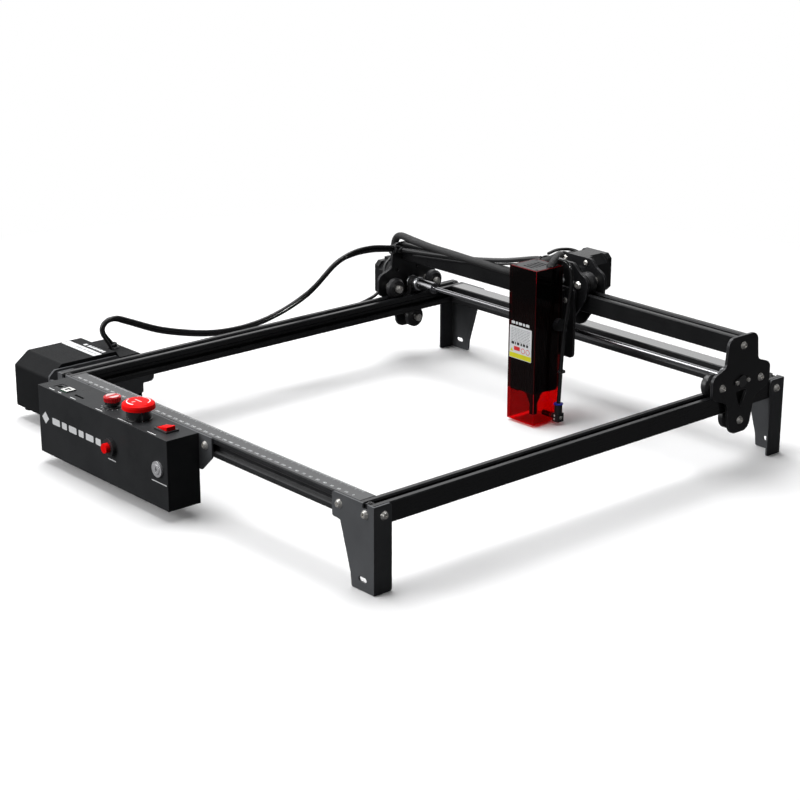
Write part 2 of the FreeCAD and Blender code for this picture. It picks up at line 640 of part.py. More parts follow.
# ------------------------------------------------------------------ carriage
# x from the carriage centre, z, fillet radius
CARRIAGE_PLATE = [(-23, 176.5, 8), (23, 176.5, 8), (31, 168, 6), (45.5, 160, 11),
                  (42, 139, 11), (13.2, 100.0, 11), (-13.2, 100.0, 11), (-42, 139, 11),
                  (-45.5, 160, 11), (-31, 168, 6)]
MOTOR_SCREWS_X = around(CARRIAGE_X, MOTOR_SCREW)


def carriage_plate(y0, motor_hole_r):
    plate = extrude("xz", [(CARRIAGE_X + x, z, r) for x, z, r in CARRIAGE_PLATE],
                    y0, y0 + PLATE_T)
    holes = [(x, z, AXLE_HOLE_R) for x, z in CARRIAGE_AXLES]
    holes.append((CARRIAGE_X, X_MOTOR_Z, motor_hole_r))
    return cut_all(plate, [cylinder((x, y0 - 1, z), BACK, r, PLATE_T + 2)
                           for x, z, r in holes])


PARTS["carriage_plate_front"] = carriage_plate(FRONT_PLATE_Y, 9.5)


@piece
def carriage_plate_rear():
    return cut_all(carriage_plate(REAR_PLATE_Y, 11.2), [
        cylinder((x, REAR_PLATE_Y - 1, X_MOTOR_Z + MOTOR_SCREW), BACK, 1.7, 5)
        for x in MOTOR_SCREWS_X])


@piece
def carriage_fasteners():
    """Wheel screws with spacers and nuts, motor screws, and two guide plate spacers."""
    front_in, rear_out = FRONT_PLATE_Y + PLATE_T, REAR_PLATE_Y + PLATE_T
    fasteners = []
    for x, z in CARRIAGE_AXLES:
        fasteners += [
            screw((x, FRONT_PLATE_Y, z), FORWARD, 34.5, AXLE_R),
            ring((x, front_in, z), BACK, 4.4, AXLE_R, GANTRY_Y - WHEEL_SIDE - front_in),
            ring((x, GANTRY_Y + WHEEL_SIDE, z), BACK, 4.4, AXLE_R,
                 REAR_PLATE_Y - GANTRY_Y - WHEEL_SIDE),
            ring((x, rear_out, z), BACK, 4.3, AXLE_R, 3.8)]
    for x in MOTOR_SCREWS_X:
        fasteners.append(screw((x, REAR_PLATE_Y, X_MOTOR_Z + MOTOR_SCREW), FORWARD, 6.0,
                               radius=1.5, head_r=2.8, head_h=1.8))
    for x in around(CARRIAGE_X, 18.0):
        fasteners.append(ring((x, 470.5, 135.0), BACK, 4.0, 2.0, 3.5))
    return Part.makeCompound(fasteners)


@piece
def x_motor():
    front_y = REAR_PLATE_Y + PLATE_T
    blocks = motor_blocks("xz", CARRIAGE_X, X_MOTOR_Z, (front_y, 510.5, 529.5, 536.0))
    connector = box(*around(CARRIAGE_X, 8), 513.0, 527.0, X_MOTOR_Z - 24.5, X_MOTOR_Z - 20.5)
    boss = cylinder((CARRIAGE_X, front_y + 0.1, X_MOTOR_Z), FORWARD, 11.0, 2.0)
    return cut_all(fuse_all(blocks + [connector, boss]), [
        cylinder((CARRIAGE_X, 500.0, X_MOTOR_Z), BACK, ROD_R + CLEAR, 34.0)]
        + [cylinder((x, front_y - 1, X_MOTOR_Z + MOTOR_SCREW), BACK, 1.6, 6)
           for x in MOTOR_SCREWS_X])


@piece
def z_guide_plate():
    x0, x1 = around(CARRIAGE_X, 31.5)
    plate = extrude("xz", [(x0, 150.0, 5), (x1, 150.0, 5), (x1, 72.0, 5), (x0, 72.0, 5)],
                    467.5, 470.5)
    for x in around(CARRIAGE_X, 14.75):  # upright guide strips
        plate = plate.fuse(box(*around(x, 2.25), 463.2, 467.6, 78.0, 146.0))
    return cut_all(plate.removeSplitter(), [cylinder((x, 462.0, z), BACK, 5.0, 12.0)
                                            for x, z in CARRIAGE_AXLES])


for place, (x, z) in zip(("left", "right", "lower"), CARRIAGE_AXLES):
    PARTS["carriage_wheel_" + place] = bevelled_wheel((x, GANTRY_Y, z), along_y=True)


@piece
def x_pulley():
    """Pulley and motor shaft."""
    base = (CARRIAGE_X, GANTRY_Y - 5.0, X_MOTOR_Z)
    return Part.makeCompound([pulley(base, BACK), cylinder(base, BACK, ROD_R, 44.0)])


# ------------------------------------------------------------------ laser head
HEAD_X0, HEAD_X1, HEAD_Y0, HEAD_Y1 = -264.0, -223.5, 419.5, 459.5
HEAD_Z0, HEAD_Z1 = 2.5, 176.0
HEAD_X, HEAD_Y = (HEAD_X0 + HEAD_X1) / 2, (HEAD_Y0 + HEAD_Y1) / 2
IN_X0, IN_X1 = HEAD_X0 + 2.2, HEAD_X1 - 2.2   # body inside the shield
IN_Y0, IN_Y1 = HEAD_Y0 + 2.2, HEAD_Y1 - 2.2
FITTING_X, FITTING_Y, FITTING_Z = -215.2, 450.0, 8.0
FOCUS_Y, FOCUS_Z, FOCUS_PIN_R = 453.0, 111.5, 2.0
FAN_Z0, FAN_Z1, FAN_PIN_R = 142.1, 158.0, 1.5


@piece
def head_shield():
    return cut_all(box(HEAD_X0, HEAD_X1, HEAD_Y0, HEAD_Y1, HEAD_Z0, HEAD_Z1), [
        box(HEAD_X0 + 2, HEAD_X1 - 2, HEAD_Y0 + 2, HEAD_Y1 - 2, HEAD_Z0 - 1, HEAD_Z1 + 1),
        box(*around(CARRIAGE_X, 12.0), HEAD_Y1 - 3, HEAD_Y1 + 1, 84.0, 166.0),
        cylinder((HEAD_X1 - 3, FITTING_Y, FITTING_Z), RIGHT, 3.2, 5.0),
        cylinder((HEAD_X1 - 3, FOCUS_Y, FOCUS_Z), RIGHT, 3.2, 5.0)])


def lower_window(plane, low, high, start, end):
    """Opening with sloped shoulders at the foot of the housing."""
    return extrude(plane, [(low + 6, 13.0), (low + 6, 26.0, 1), (low + 12.0, 37.0, 6),
                           (high - 12.0, 37.0, 6), (high - 6, 26.0, 1), (high - 6, 13.0)],
                   start, end)


def housing_grooves():
    """Upright cooling grooves; the rear ones leave the slider free."""
    half, depth, height = 0.8, 1.2, (38.0, 143.0)
    grooves = []
    for k in range(9):
        x = IN_X0 + 3.0 + k * (IN_X1 - IN_X0 - 6.0) / 8.0
        grooves.append(box(*around(x, half), IN_Y0 - 1, IN_Y0 + depth, *height))
        if abs(x - CARRIAGE_X) > 13.0:
            grooves.append(box(*around(x, half), IN_Y1 - depth, IN_Y1 + 1, *height))
    for k in range(9):
        y = IN_Y0 + 3.0 + k * (IN_Y1 - IN_Y0 - 6.0) / 8.0
        grooves.append(box(IN_X0 - 1, IN_X0 + depth, *around(y, half), *height))
        if k < 7:
            grooves.append(box(IN_X1 - depth, IN_X1 + 1, *around(y, half), *height))
    return grooves[0].fuse(grooves[1:])


@piece
def head_housing():
    housing = cut_all(box(IN_X0, IN_X1, IN_Y0, IN_Y1, 14.0, 142.0), [
        box(IN_X0 + 3, IN_X1 - 3, IN_Y0 + 3, IN_Y1 - 3, 13.0, 62.0),
        lower_window("xz", IN_X0, IN_X1, IN_Y0 - 1, IN_Y1 + 1),
        lower_window("yz", IN_Y0, IN_Y1, IN_X0 - 1, IN_X1 + 1),
        # only the front right corner runs down as a leg
        box(IN_X0 - 1, IN_X1 - 13.0, IN_Y0 - 1, IN_Y1 + 1, 13.0, 36.0),
        box(IN_X0 - 1, IN_X1 + 1, IN_Y0 + 13.0, IN_Y1 + 1, 13.0, 36.0),
        housing_grooves(),
        cylinder((CARRIAGE_X, HEAD_Y, 60.0), UP, 8.05, 50.0)])
    # slider behind the housing, running between the two guide strips
    slider = box(*around(CARRIAGE_X, 11.5), IN_Y1 - 0.5, 467.3, 86.0, 141.0)
    slider = slider.fuse(box(*around(CARRIAGE_X, 12.4), 463.4, 467.3, 86.0, 141.0))
    return cut_all(housing.fuse(slider.removeSplitter()).removeSplitter(), [
        cylinder((CARRIAGE_X, 461.0, LOWER_AXLE_Z), BACK, 5.0, 8.0),
        cylinder((IN_X1 - 8.0, FOCUS_Y, FOCUS_Z), RIGHT, FOCUS_PIN_R + CLEAR, 20.0)])


def fan_frame():
    """Frame with a hub on four arms and the pin the rotor turns on."""
    frame = box(IN_X0, IN_X1, IN_Y0, IN_Y1, FAN_Z0, FAN_Z1)
    frame = frame.cut(cylinder((HEAD_X, HEAD_Y, 140.0), UP, 16.6, 20.0))
    frame = frame.fuse(cylinder((HEAD_X, HEAD_Y, FAN_Z0), UP, 8.0, 1.6))
    for angle in (45, 135, 225, 315):
        arm = box(HEAD_X, HEAD_X + 17.2, *around(HEAD_Y, 1.0), FAN_Z0, FAN_Z0 + 1.6)
        arm.rotate(V(HEAD_X, HEAD_Y, 0), UP, angle)
        frame = frame.fuse(arm)
    return frame.fuse(cylinder((HEAD_X, HEAD_Y, 143.0), UP, FAN_PIN_R, 12.0)).removeSplitter()


@piece
def fan_rotor():
    rotor = cylinder((HEAD_X, HEAD_Y, 144.2), UP, 8.0, 11.5)
    blades = 7
    for k in range(blades):
        blade = box(HEAD_X + 7.0, HEAD_X + 16.0, *around(HEAD_Y, 0.7), 146.0, 155.0)
        blade.rotate(V(HEAD_X, HEAD_Y, 150.5), RIGHT, 32)
        blade.rotate(V(HEAD_X, HEAD_Y, 0), UP, 360.0 * k / blades)
        rotor = rotor.fuse(blade)
    return rotor.removeSplitter().cut(
        cylinder((HEAD_X, HEAD_Y, 144.0), UP, FAN_PIN_R + CLEAR, 11.3))


@piece
def fan_housing():
    cap = box(IN_X0, IN_X1, IN_Y0, IN_Y1, FAN_Z1, 174.6)
    cap = cap.cut(box(IN_X0 + 2, IN_X1 - 2, IN_Y0 + 2, IN_Y1 - 2, 157.0, 172.6))
    cap = cap.fuse(box(HEAD_X0 + 2.1, HEAD_X1 - 2.1, HEAD_Y0 + 2.1, HEAD_Y1 - 2.1,
                       174.5, HEAD_Z1)).removeSplitter()
    cap = cut_all(cap, [slot("xy", CARRIAGE_X - 7.0, CARRIAGE_X + 9.0, 428.0 + 5.0 * k,
                             1.1, 171.0, 177.0) for k in range(5)])
    return cap.fuse(fan_frame()).removeSplitter()


@piece
def laser_module():
    # radius, bottom z, length
    steps = ((8.0, 64.0, 45.0), (6.0, 44.0, 20.5), (4.2, 26.0, 19.0))
    bores = ((2.6, 25.0, 20.0), (1.2, 23.0, 40.0))
    body, tools = [[cylinder((CARRIAGE_X, HEAD_Y, z), UP, r, length) for r, z, length in rows]
                   for rows in (steps, bores)]
    return cut_all(fuse_all(body), tools)


@piece
def air_fitting():
    """Elbow from the shield wall up to the air tube, with a collar on top."""
    bore = 2.1
    elbow = fuse_all([cylinder((-238.0, FITTING_Y, FITTING_Z), RIGHT, 3.0, 19.6),
                      box(-219.6, -211.0, *around(FITTING_Y, 4.4), 3.4, 13.0),
                      cylinder((FITTING_X, FITTING_Y, 12.0), UP, 4.3, 11.0)])
    elbow = cut_all(elbow, [cylinder((FITTING_X, FITTING_Y, FITTING_Z), UP, bore, 20),
                            cylinder((-240.0, FITTING_Y, FITTING_Z), RIGHT, 1.6, 26)])
    return elbow.fuse(ring((FITTING_X, FITTING_Y, 23.0), UP, 5.0, bore, 1.2)).removeSplitter()


# x, y, z stations from the fitting up and over into the top of the head
TUBE_PATH = [
    (-215.2, 450.0, 24.4), (-214.6, 450.0, 42.0), (-213.6, 450.4, 65.5), (-212.6, 451.2, 87.2),
    (-212.0, 453.4, 109.7), (-211.8, 456.8, 132.9), (-212.2, 459.2, 152.0),
    (-213.8, 460.2, 164.5), (-217.4, 460.0, 174.6), (-223.0, 457.6, 181.6),
    (-228.6, 452.4, 183.4), (-230.9, 448.8, 182.0), (-231.4, 447.5, 179.0),
    (-231.4, 447.4, 176.4)]
PARTS["head_air_tube"] = pipe(TUBE_PATH, 2.6)


@piece
def focus_knob():
    knob = fuse_all([cylinder((HEAD_X1 + 0.1, FOCUS_Y, FOCUS_Z), RIGHT, 7.0, 5.0),
                     cylinder((IN_X1 - 6.0, FOCUS_Y, FOCUS_Z), RIGHT, FOCUS_PIN_R, 9.0)])
    return cut_all(knob, [cylinder((HEAD_X1 - 0.5, FOCUS_Y + y, FOCUS_Z + z), RIGHT, 0.7, 7.0)
                          for y, z in circle_points(7.15, 16)])


# ------------------------------------------------------------------ write
os.makedirs("parts", exist_ok=True)
for name, shape in PARTS.items():
    shape.translate(ORIGIN_SHIFT)
    assert shape.isValid(), name
    shape.exportStep("parts/%s.step" % name)
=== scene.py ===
# Desktop laser cutter: a frame of four rails, a gantry beam that rides along y, a carriage
# that rides the beam along x and a laser head with a red shield in front of it. The control
# box stands in front of the front rail and the air pump to the left of the left rail.
# Lengths are bench millimetres unless said otherwise: x to the right, y to the rear, z up.
import json
import math
import random

import bmesh
import bpy
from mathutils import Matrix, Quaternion, Vector


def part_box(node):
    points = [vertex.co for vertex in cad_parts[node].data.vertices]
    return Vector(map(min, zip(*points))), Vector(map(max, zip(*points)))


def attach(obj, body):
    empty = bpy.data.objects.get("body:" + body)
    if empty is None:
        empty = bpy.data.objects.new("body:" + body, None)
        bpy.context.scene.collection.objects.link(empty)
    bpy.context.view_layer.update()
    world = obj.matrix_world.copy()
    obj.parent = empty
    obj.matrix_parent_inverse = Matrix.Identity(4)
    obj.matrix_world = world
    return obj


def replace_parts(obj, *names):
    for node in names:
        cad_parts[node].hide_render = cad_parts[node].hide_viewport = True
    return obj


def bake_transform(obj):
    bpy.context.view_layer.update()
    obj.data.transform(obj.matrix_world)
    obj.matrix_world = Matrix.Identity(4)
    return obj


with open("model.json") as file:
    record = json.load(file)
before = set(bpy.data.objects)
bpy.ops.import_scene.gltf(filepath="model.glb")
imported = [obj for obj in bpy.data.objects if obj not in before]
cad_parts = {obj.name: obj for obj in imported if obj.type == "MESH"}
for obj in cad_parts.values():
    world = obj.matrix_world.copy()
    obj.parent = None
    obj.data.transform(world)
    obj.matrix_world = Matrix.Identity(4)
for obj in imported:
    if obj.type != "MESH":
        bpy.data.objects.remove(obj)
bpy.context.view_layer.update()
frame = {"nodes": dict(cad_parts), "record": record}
NODES = frame["nodes"]
random.seed(7)

# The bench frame's origin inside the row frame
BENCH_X, BENCH_Y = 308.9, -259.5

DECK_Z = 83.5                   # top of the rails and of the control box
LEFT_BELT_X, RIGHT_BELT_X = -496.0, -12.0
BEAM_Y = 489.0                  # the beam's belt and both motor shafts
Y_SHAFT_Z, X_SHAFT_Z = 95.5, 155.2
CARRIAGE_X = -244.5
BOX_FRONT_Y = -37.5
KNOB_X, STOP_X, CONTROLS_Y = -376.0, -330.0, -19.0
STOP_TOP_Z = 101.68
PUMP_TOP_Z = 73.6
HEAD_FRONT_Y = 419.5
LABEL_THICK = 0.12
SHIELD_LEFT_X, SHIELD_REAR_Y = -264.0, 459.5
BRAID_TWIST = 2400.0            # radians per metre along a braided sleeve


def bench(x, y, z):
    """Bench millimetres to a point in the row frame, in metres."""
    return Vector(((x + BENCH_X) / 1000.0, (y + BENCH_Y) / 1000.0, z / 1000.0))


# ------------------------------------------------------------------ shader helpers
FINISH = {}                     # every material, by its name


class Shader:
    """An emptied node tree, with short ways to add nodes and wire them."""

    def __init__(self, tree):
        self.tree = tree
        tree.nodes.clear()

    def feed(self, socket, value):
        """Link another node's output, or set a plain value; colours are RGB."""
        if isinstance(value, bpy.types.NodeSocket):
            self.tree.links.new(value, socket)
        elif socket.type == "RGBA":
            socket.default_value = (*value, 1.0)
        else:
            socket.default_value = value

    def set(self, node, **inputs):
        """Feed inputs by name, with underscores for spaces."""
        for name, value in inputs.items():
            self.feed(node.inputs[name.replace("_", " ")], value)

    def node(self, kind, *first_inputs, **inputs):
        node = self.tree.nodes.new("ShaderNode" + kind)
        for socket, value in zip(node.inputs, first_inputs):
            self.feed(socket, value)
        self.set(node, **inputs)
        return node

    def mix(self, factor, first, second, kind="RGBA"):
        node = self.node("Mix", factor)
        node.data_type = kind
        first_in, second_in, result = (6, 7, 2) if kind == "RGBA" else (2, 3, 0)
        self.feed(node.inputs[first_in], first)
        self.feed(node.inputs[second_in], second)
        return node.outputs[result]

    def mix_shader(self, factor, first, second):
        return self.node("MixShader", factor, first, second).outputs[0]

    def math(self, operation, first, second=0.0, clamp=False):
        node = self.node("Math", first, second)
        node.operation = operation
        node.use_clamp = clamp
        return node.outputs[0]

    def times(self, first, second, clamp=False):
        return self.math("MULTIPLY", first, second, clamp)

    def span(self, value, source, target=(0.0, 1.0)):
        """Map the source range to the target range, clamped."""
        node = self.node("MapRange", value, *source, *target)
        node.clamp = True
        return node.outputs[0]

    def coords(self, scale=(1, 1, 1)):
        source = self.node("TexCoord").outputs["Object"]
        return self.node("Mapping", source, Scale=scale).outputs[0]

    def axes(self, vector):
        return tuple(self.node("SeparateXYZ", vector).outputs)

    def noise(self, where, scale, detail=3.0, rough=0.55):
        return self.node("TexNoise", Vector=where, Scale=scale, Detail=detail,
                         Roughness=rough).outputs[0]

    def bevel(self, radius):
        node = self.node("Bevel", Radius=radius)
        node.samples = 6
        return node.outputs[0]

    def flatness(self, radius):
        """One on flat faces, falling within the radius (metres) of an edge."""
        normal = self.node("NewGeometry").outputs["Normal"]
        node = self.node("VectorMath", self.bevel(radius), normal)
        node.operation = "DOT_PRODUCT"
        return node.outputs["Value"]


def new_material(name):
    material = bpy.data.materials.new(name)
    material.use_nodes = True
    FINISH[name] = material
    shader = Shader(material.node_tree)
    output = shader.node("OutputMaterial")
    principled = shader.node("BsdfPrincipled")
    shader.feed(output.inputs[0], principled.outputs[0])
    return shader, output, principled


def surface(name, color, rough, grain, bump, depth=3e-5, metal=0.0, specular=0.5, drift=0.12,
            rough_drift=0.10, cells=False, streak=None, bevel=3e-4, wear=0.0, worn=None,
            coat=0.0, coat_rough=0.15, dust=0.0):
    """Finish with drifting colour and roughness, fine relief, rounded and worn edges.

    grain is the scale of the fine noise, bump and depth (metres) the strength and height
    of its relief, streak the noise scale on each axis, bevel an edge radius in metres."""
    shader, _, principled = new_material(name)
    where = shader.coords()
    broad = shader.noise(where, scale=28.0)
    fine = shader.noise(where, scale=grain, detail=4.0, rough=0.6)

    dark = [channel * (1 - drift) for channel in color]
    pale = [channel * (1 + drift) + 0.002 for channel in color]
    base = shader.mix(shader.span(broad, (0.3, 0.7)), dark, pale)
    base = shader.mix(shader.span(fine, (0.35, 0.75), (0.0, 0.35)), base, color)
    roughness = shader.span(fine, (0.25, 0.75), (rough - rough_drift, rough + rough_drift))
    slow = shader.span(broad, (0.3, 0.7), (-rough_drift * 0.5, rough_drift * 0.5))
    roughness = shader.math("ADD", roughness, slow, clamp=True)

    height = fine
    if cells:
        cell = shader.node("TexVoronoi", Scale=grain, Vector=where).outputs["Distance"]
        height = shader.math("ADD", cell, shader.times(fine, 0.5))
    if streak:
        lines = shader.noise(shader.coords(streak), scale=1.0, rough=0.6)
        height = shader.math("ADD", shader.times(lines, 0.8), shader.times(fine, 0.35))
        sheen = shader.span(lines, (0.3, 0.7), (-rough_drift * 0.6, rough_drift * 0.6))
        roughness = shader.math("ADD", roughness, sheen, clamp=True)
    relief = shader.node("Bump", Strength=bump, Distance=depth, Height=height)
    if bevel > 0:
        shader.set(relief, Normal=shader.bevel(bevel))

    if wear > 0:
        edge = shader.span(shader.flatness(max(bevel, 0.0002) * 1.6), (0.985, 0.86))
        scratch = shader.noise(where, scale=260.0, detail=4.0, rough=0.7)
        patchy = shader.span(scratch, (0.42, 0.6), (0.15, 1.0))
        mask = shader.times(edge, patchy, clamp=True)
        mask = shader.times(mask, wear, clamp=True)
        base = shader.mix(mask, base, worn)
        roughness = shader.mix(mask, roughness, 0.32, "FLOAT")
    if dust > 0:
        normal_z = shader.axes(shader.node("NewGeometry").outputs["Normal"])[2]
        upward = shader.span(normal_z, (0.6, 1.0))
        specks = shader.span(shader.noise(where, scale=1500.0, detail=2.0), (0.5, 0.75))
        mask = shader.times(shader.times(upward, specks), dust, clamp=True)
        base = shader.mix(mask, base, (0.35, 0.35, 0.34))
    shader.set(principled, Normal=relief.outputs[0], Base_Color=base, Roughness=roughness,
               Metallic=metal, Specular_IOR_Level=specular, Coat_Weight=coat,
               Coat_Roughness=coat_rough)


def red_acrylic():
    """Clear red sheet: tints what is behind it, mirrors at a glance, and carries a painted glow
    (emission) at its edges.
    """
    shader, output, painted_glow = new_material("red_acrylic")
    where = shader.coords()
    broad = shader.noise(where, scale=40.0, detail=2.0)
    fine = shader.noise(where, scale=900.0)
    origin = NODES["head_shield"].matrix_world.translation
    x, y, z = shader.axes(shader.node("TexCoord").outputs["Object"])

    def left_of(inset):
        limit = (SHIELD_LEFT_X + BENCH_X + inset) / 1000.0 - origin.x
        return shader.math("LESS_THAN", x, limit)

    def outer(inset):
        """One within inset millimetres of the left or rear outer face."""
        limit = (SHIELD_REAR_Y + BENCH_Y - inset) / 1000.0 - origin.y
        return shader.math("MAXIMUM", left_of(inset), shader.math("GREATER_THAN", y, limit))

    # Heights in metres where the look changes
    skirt_top, band_top = 0.038, 0.163
    cap_fade = (0.136 - origin.z, 0.146 - origin.z)
    skin, rim_width = 0.05, 1.6

    upper = shader.math("GREATER_THAN", z, skirt_top - origin.z)
    wall = shader.times(outer(skin), upper)
    rim = shader.times(outer(rim_width), upper)
    tint = shader.mix(shader.span(broad, (0.3, 0.7)), (0.80, 0.012, 0.035), (0.86, 0.02, 0.045))
    # Painted shade: the lower part of the left face passes a darker red than the rest of the
    # sheet.
    skirt_painted_shade = shader.times(left_of(skin), shader.math("SUBTRACT", 1.0, upper))
    tint = shader.mix(skirt_painted_shade, tint, (0.30, 0.002, 0.014))
    tint = shader.mix(shader.span(z, cap_fade), tint, (0.22, 0.002, 0.006))
    tint = shader.mix(wall, tint, (0.10, 0.002, 0.004))
    clear = shader.node("BsdfTransparent", tint).outputs[0]

    band = shader.times(upper, shader.math("LESS_THAN", z, band_top - origin.z))
    top = shader.math("GREATER_THAN", z, band_top - origin.z)
    relief = shader.node("Bump", Strength=0.04, Distance=5e-5, Height=broad,
                         Normal=shader.bevel(0.0005))
    mirror = shader.node("BsdfGlossy", Color=(1.0, 0.9, 0.9), Normal=relief.outputs[0],
                         Roughness=shader.span(fine, (0.3, 0.7), (0.03, 0.10)))
    fresnel = shader.node("Fresnel", IOR=1.42).outputs[0]
    back = shader.node("NewGeometry").outputs["Backfacing"]
    glance = shader.times(shader.times(fresnel, 0.6), shader.math("SUBTRACT", 1.0, back))
    sheet = shader.mix_shader(glance, clear, mirror.outputs[0])

    smoke = shader.node("BsdfDiffuse", (0.010, 0.0085, 0.0085)).outputs[0]
    sheet = shader.mix_shader(shader.times(upper, 0.45), sheet, smoke)

    # Painted glow: an emissive red along the sheet's edges stands in for light caught in them; it
    # is cut back on the outer rim, in the middle band and on top.
    shader.set(painted_glow, Base_Color=(0.72, 0.0, 0.012), Roughness=0.25,
               Emission_Color=(0.60, 0.0, 0.012), Emission_Strength=0.35)
    painted_glow_mask = shader.span(shader.flatness(0.0011), (0.99, 0.80), (0.0, 0.85))
    for zone, share in ((rim, 0.10), (band, 0.12), (top, 0.55)):
        painted_glow_mask = shader.times(painted_glow_mask, shader.span(zone, (0.0, 1.0), (1.0, share)))
    shader.feed(output.inputs[0], shader.mix_shader(painted_glow_mask, sheet, painted_glow.outputs[0]))


def braided_sleeve():
    shader, _, principled = new_material("braided_sleeve")
    around, along, _ = shader.axes(shader.node("TexCoord").outputs["UV"])

    def strands(direction):
        turn = shader.times(around, 75.4)
        rise = shader.times(along, BRAID_TWIST)
        return shader.math("SINE", shader.math(direction, turn, rise))

    weave = shader.times(strands("ADD"), strands("SUBTRACT"))
    fine = shader.noise(shader.coords(), scale=3000.0)
    base = shader.mix(shader.span(weave, (-0.5, 0.8)),
                      (0.007, 0.007, 0.0075), (0.024, 0.024, 0.025))
    base = shader.mix(shader.span(fine, (0.4, 0.8), (0.0, 0.4)), base, (0.034, 0.034, 0.035))
    height = shader.math("ADD", weave, shader.times(fine, 0.4))
    relief = shader.node("Bump", Strength=0.6, Distance=0.00025, Height=height)
    shader.set(principled, Base_Color=base, Normal=relief.outputs[0], Sheen_Weight=0.03,
               Roughness=shader.span(fine, (0.3, 0.7), (0.42, 0.66)))


# ------------------------------------------------------------------ finishes
BRUSHED_X = dict(streak=(12, 5200, 5200), grain=2600)
BRUSHED_Y = dict(streak=(5200, 12, 5200), grain=2600)
LABEL = dict(specular=0.4, grain=1800, bump=0.10, bevel=0.0)
PRINT = dict(rough=0.55, specular=0.3, grain=2600, bump=0.12, depth=2e-5, bevel=0.0)

# One black extrusion finish in three brightnesses: the x rails get a paler copy, painted light
# for their fronts that face the front lamp, the y rails a darker copy, painted shade for their
# sides that face away from the lamps, and the beam a darker copy still.
surface("anodised_beam", (0.010, 0.0103, 0.0112), rough=0.34, metal=0.2, specular=0.32,
        **BRUSHED_X, bump=0.10, wear=0.35, worn=(0.12, 0.12, 0.125))
surface("anodised_rail_x_painted_light", (0.029, 0.0297, 0.0315), rough=0.30, metal=0.25,
        **BRUSHED_X, bump=0.10, wear=0.35, worn=(0.16, 0.16, 0.165))
surface("anodised_rail_y_painted_shade", (0.013, 0.0135, 0.0150), rough=0.30, metal=0.25,
        **BRUSHED_Y, bump=0.10, wear=0.35, worn=(0.16, 0.16, 0.165))
surface("powder_coated_sheet", (0.098, 0.102, 0.108), rough=0.52, specular=0.26, grain=2300,
        bump=0.22, depth=5e-5, cells=True, wear=0.30, worn=(0.20, 0.20, 0.21))
surface("powder_coated_box", (0.031, 0.0322, 0.034), rough=0.34, specular=0.05, grain=2300,
        bump=0.18, depth=5e-5, cells=True, bevel=5e-4, wear=0.25, worn=(0.18, 0.18, 0.19),
        dust=0.05)
surface("anodised_plate", (0.022, 0.0225, 0.025), rough=0.36, metal=0.3, grain=2000,
        bump=0.12, depth=4e-5, bevel=4e-4, wear=0.75, worn=(0.34, 0.34, 0.35))
surface("zinc_screw", (0.80, 0.78, 0.74), rough=0.26, metal=0.72, drift=0.08, grain=3000,
        bump=0.10, bevel=2e-4, wear=0.2, worn=(0.85, 0.85, 0.84))
surface("bearing_shield", (0.055, 0.055, 0.058), rough=0.34, metal=0.5, drift=0.1,
        grain=3000, bump=0.10, bevel=2e-4, wear=0.2, worn=(0.35, 0.35, 0.35))
# Glossier, paler copy of the rail finish for the rear rail's top only: painted sheen for the
# light that top catches at a glance.
surface("rear_rail_top_painted_sheen", (0.040, 0.0415, 0.044), rough=0.15, specular=1.0,
        rough_drift=0.04, **BRUSHED_X, bump=0.05, depth=2e-5, wear=0.35,
        worn=(0.3, 0.3, 0.31), coat=1.0, coat_rough=0.08)
surface("ground_rod", (0.50, 0.50, 0.52), rough=0.20, metal=1.0, drift=0.05,
        rough_drift=0.05, streak=(30, 9000, 9000), grain=3000, bump=0.05, depth=2e-5,
        bevel=2e-4, wear=0.1, worn=(0.9, 0.9, 0.9))
surface("turned_aluminium", (0.60, 0.61, 0.63), rough=0.28, metal=1.0, drift=0.07,
        streak=(5000, 400, 400), grain=3000, bump=0.10, bevel=1.5e-4, wear=0.2,
        worn=(0.85, 0.85, 0.86))
surface("belt_rubber", (0.020, 0.020, 0.021), rough=0.62, specular=0.4, grain=3500,
        bump=0.30, depth=5e-5, bevel=8e-5, dust=0.10)
surface("turned_polymer", (0.016, 0.016, 0.018), rough=0.34, grain=1500, bump=0.10,
        depth=4e-5, wear=0.12, worn=(0.10, 0.10, 0.10))
surface("motor_lacquer", (0.013, 0.0133, 0.0142), rough=0.30, metal=0.1, specular=0.32,
        grain=1800, bump=0.14, depth=4e-5, bevel=6e-4, wear=0.30, worn=(0.16, 0.16, 0.165))
surface("moulded_gloss_black", (0.008, 0.008, 0.009), rough=0.16, drift=0.1,
        rough_drift=0.05, grain=1400, bump=0.05, bevel=6e-4, coat=0.6, coat_rough=0.08)
# Pale pink marks on the knob top and on the stop cap.
surface("pale_pink_mark", (0.74, 0.52, 0.52), rough=0.40, specular=0.4, drift=0.05, grain=1800,
        bump=0.08, bevel=0.0)
surface("soldermask", (0.02, 0.11, 0.05), rough=0.30, drift=0.3, grain=700, bump=0.3,
        depth=8e-5, bevel=3.5e-4, coat=0.5)
surface("moulded_black", (0.020, 0.020, 0.022), rough=0.40, grain=1700, bump=0.20,
        depth=5e-5, cells=True, bevel=3.5e-4, wear=0.12, worn=(0.10, 0.10, 0.10))
surface("moulded_red", (0.97, 0.001, 0.002), rough=0.46, specular=0.05, drift=0.02,
        grain=1200, bump=0.06, depth=4e-5, bevel=6e-4, coat=0.05, coat_rough=0.20)
surface("moulded_red_satin", (0.62, 0.004, 0.010), rough=0.30, specular=0.35, drift=0.10,
        grain=1500, bump=0.10, depth=5e-5)
surface("anodised_fins", (0.016, 0.016, 0.018), rough=0.42, metal=0.25, specular=0.45,
        streak=(5000, 5000, 20), grain=2200, bump=0.10, bevel=2e-4, wear=0.2,
        worn=(0.10, 0.10, 0.10))
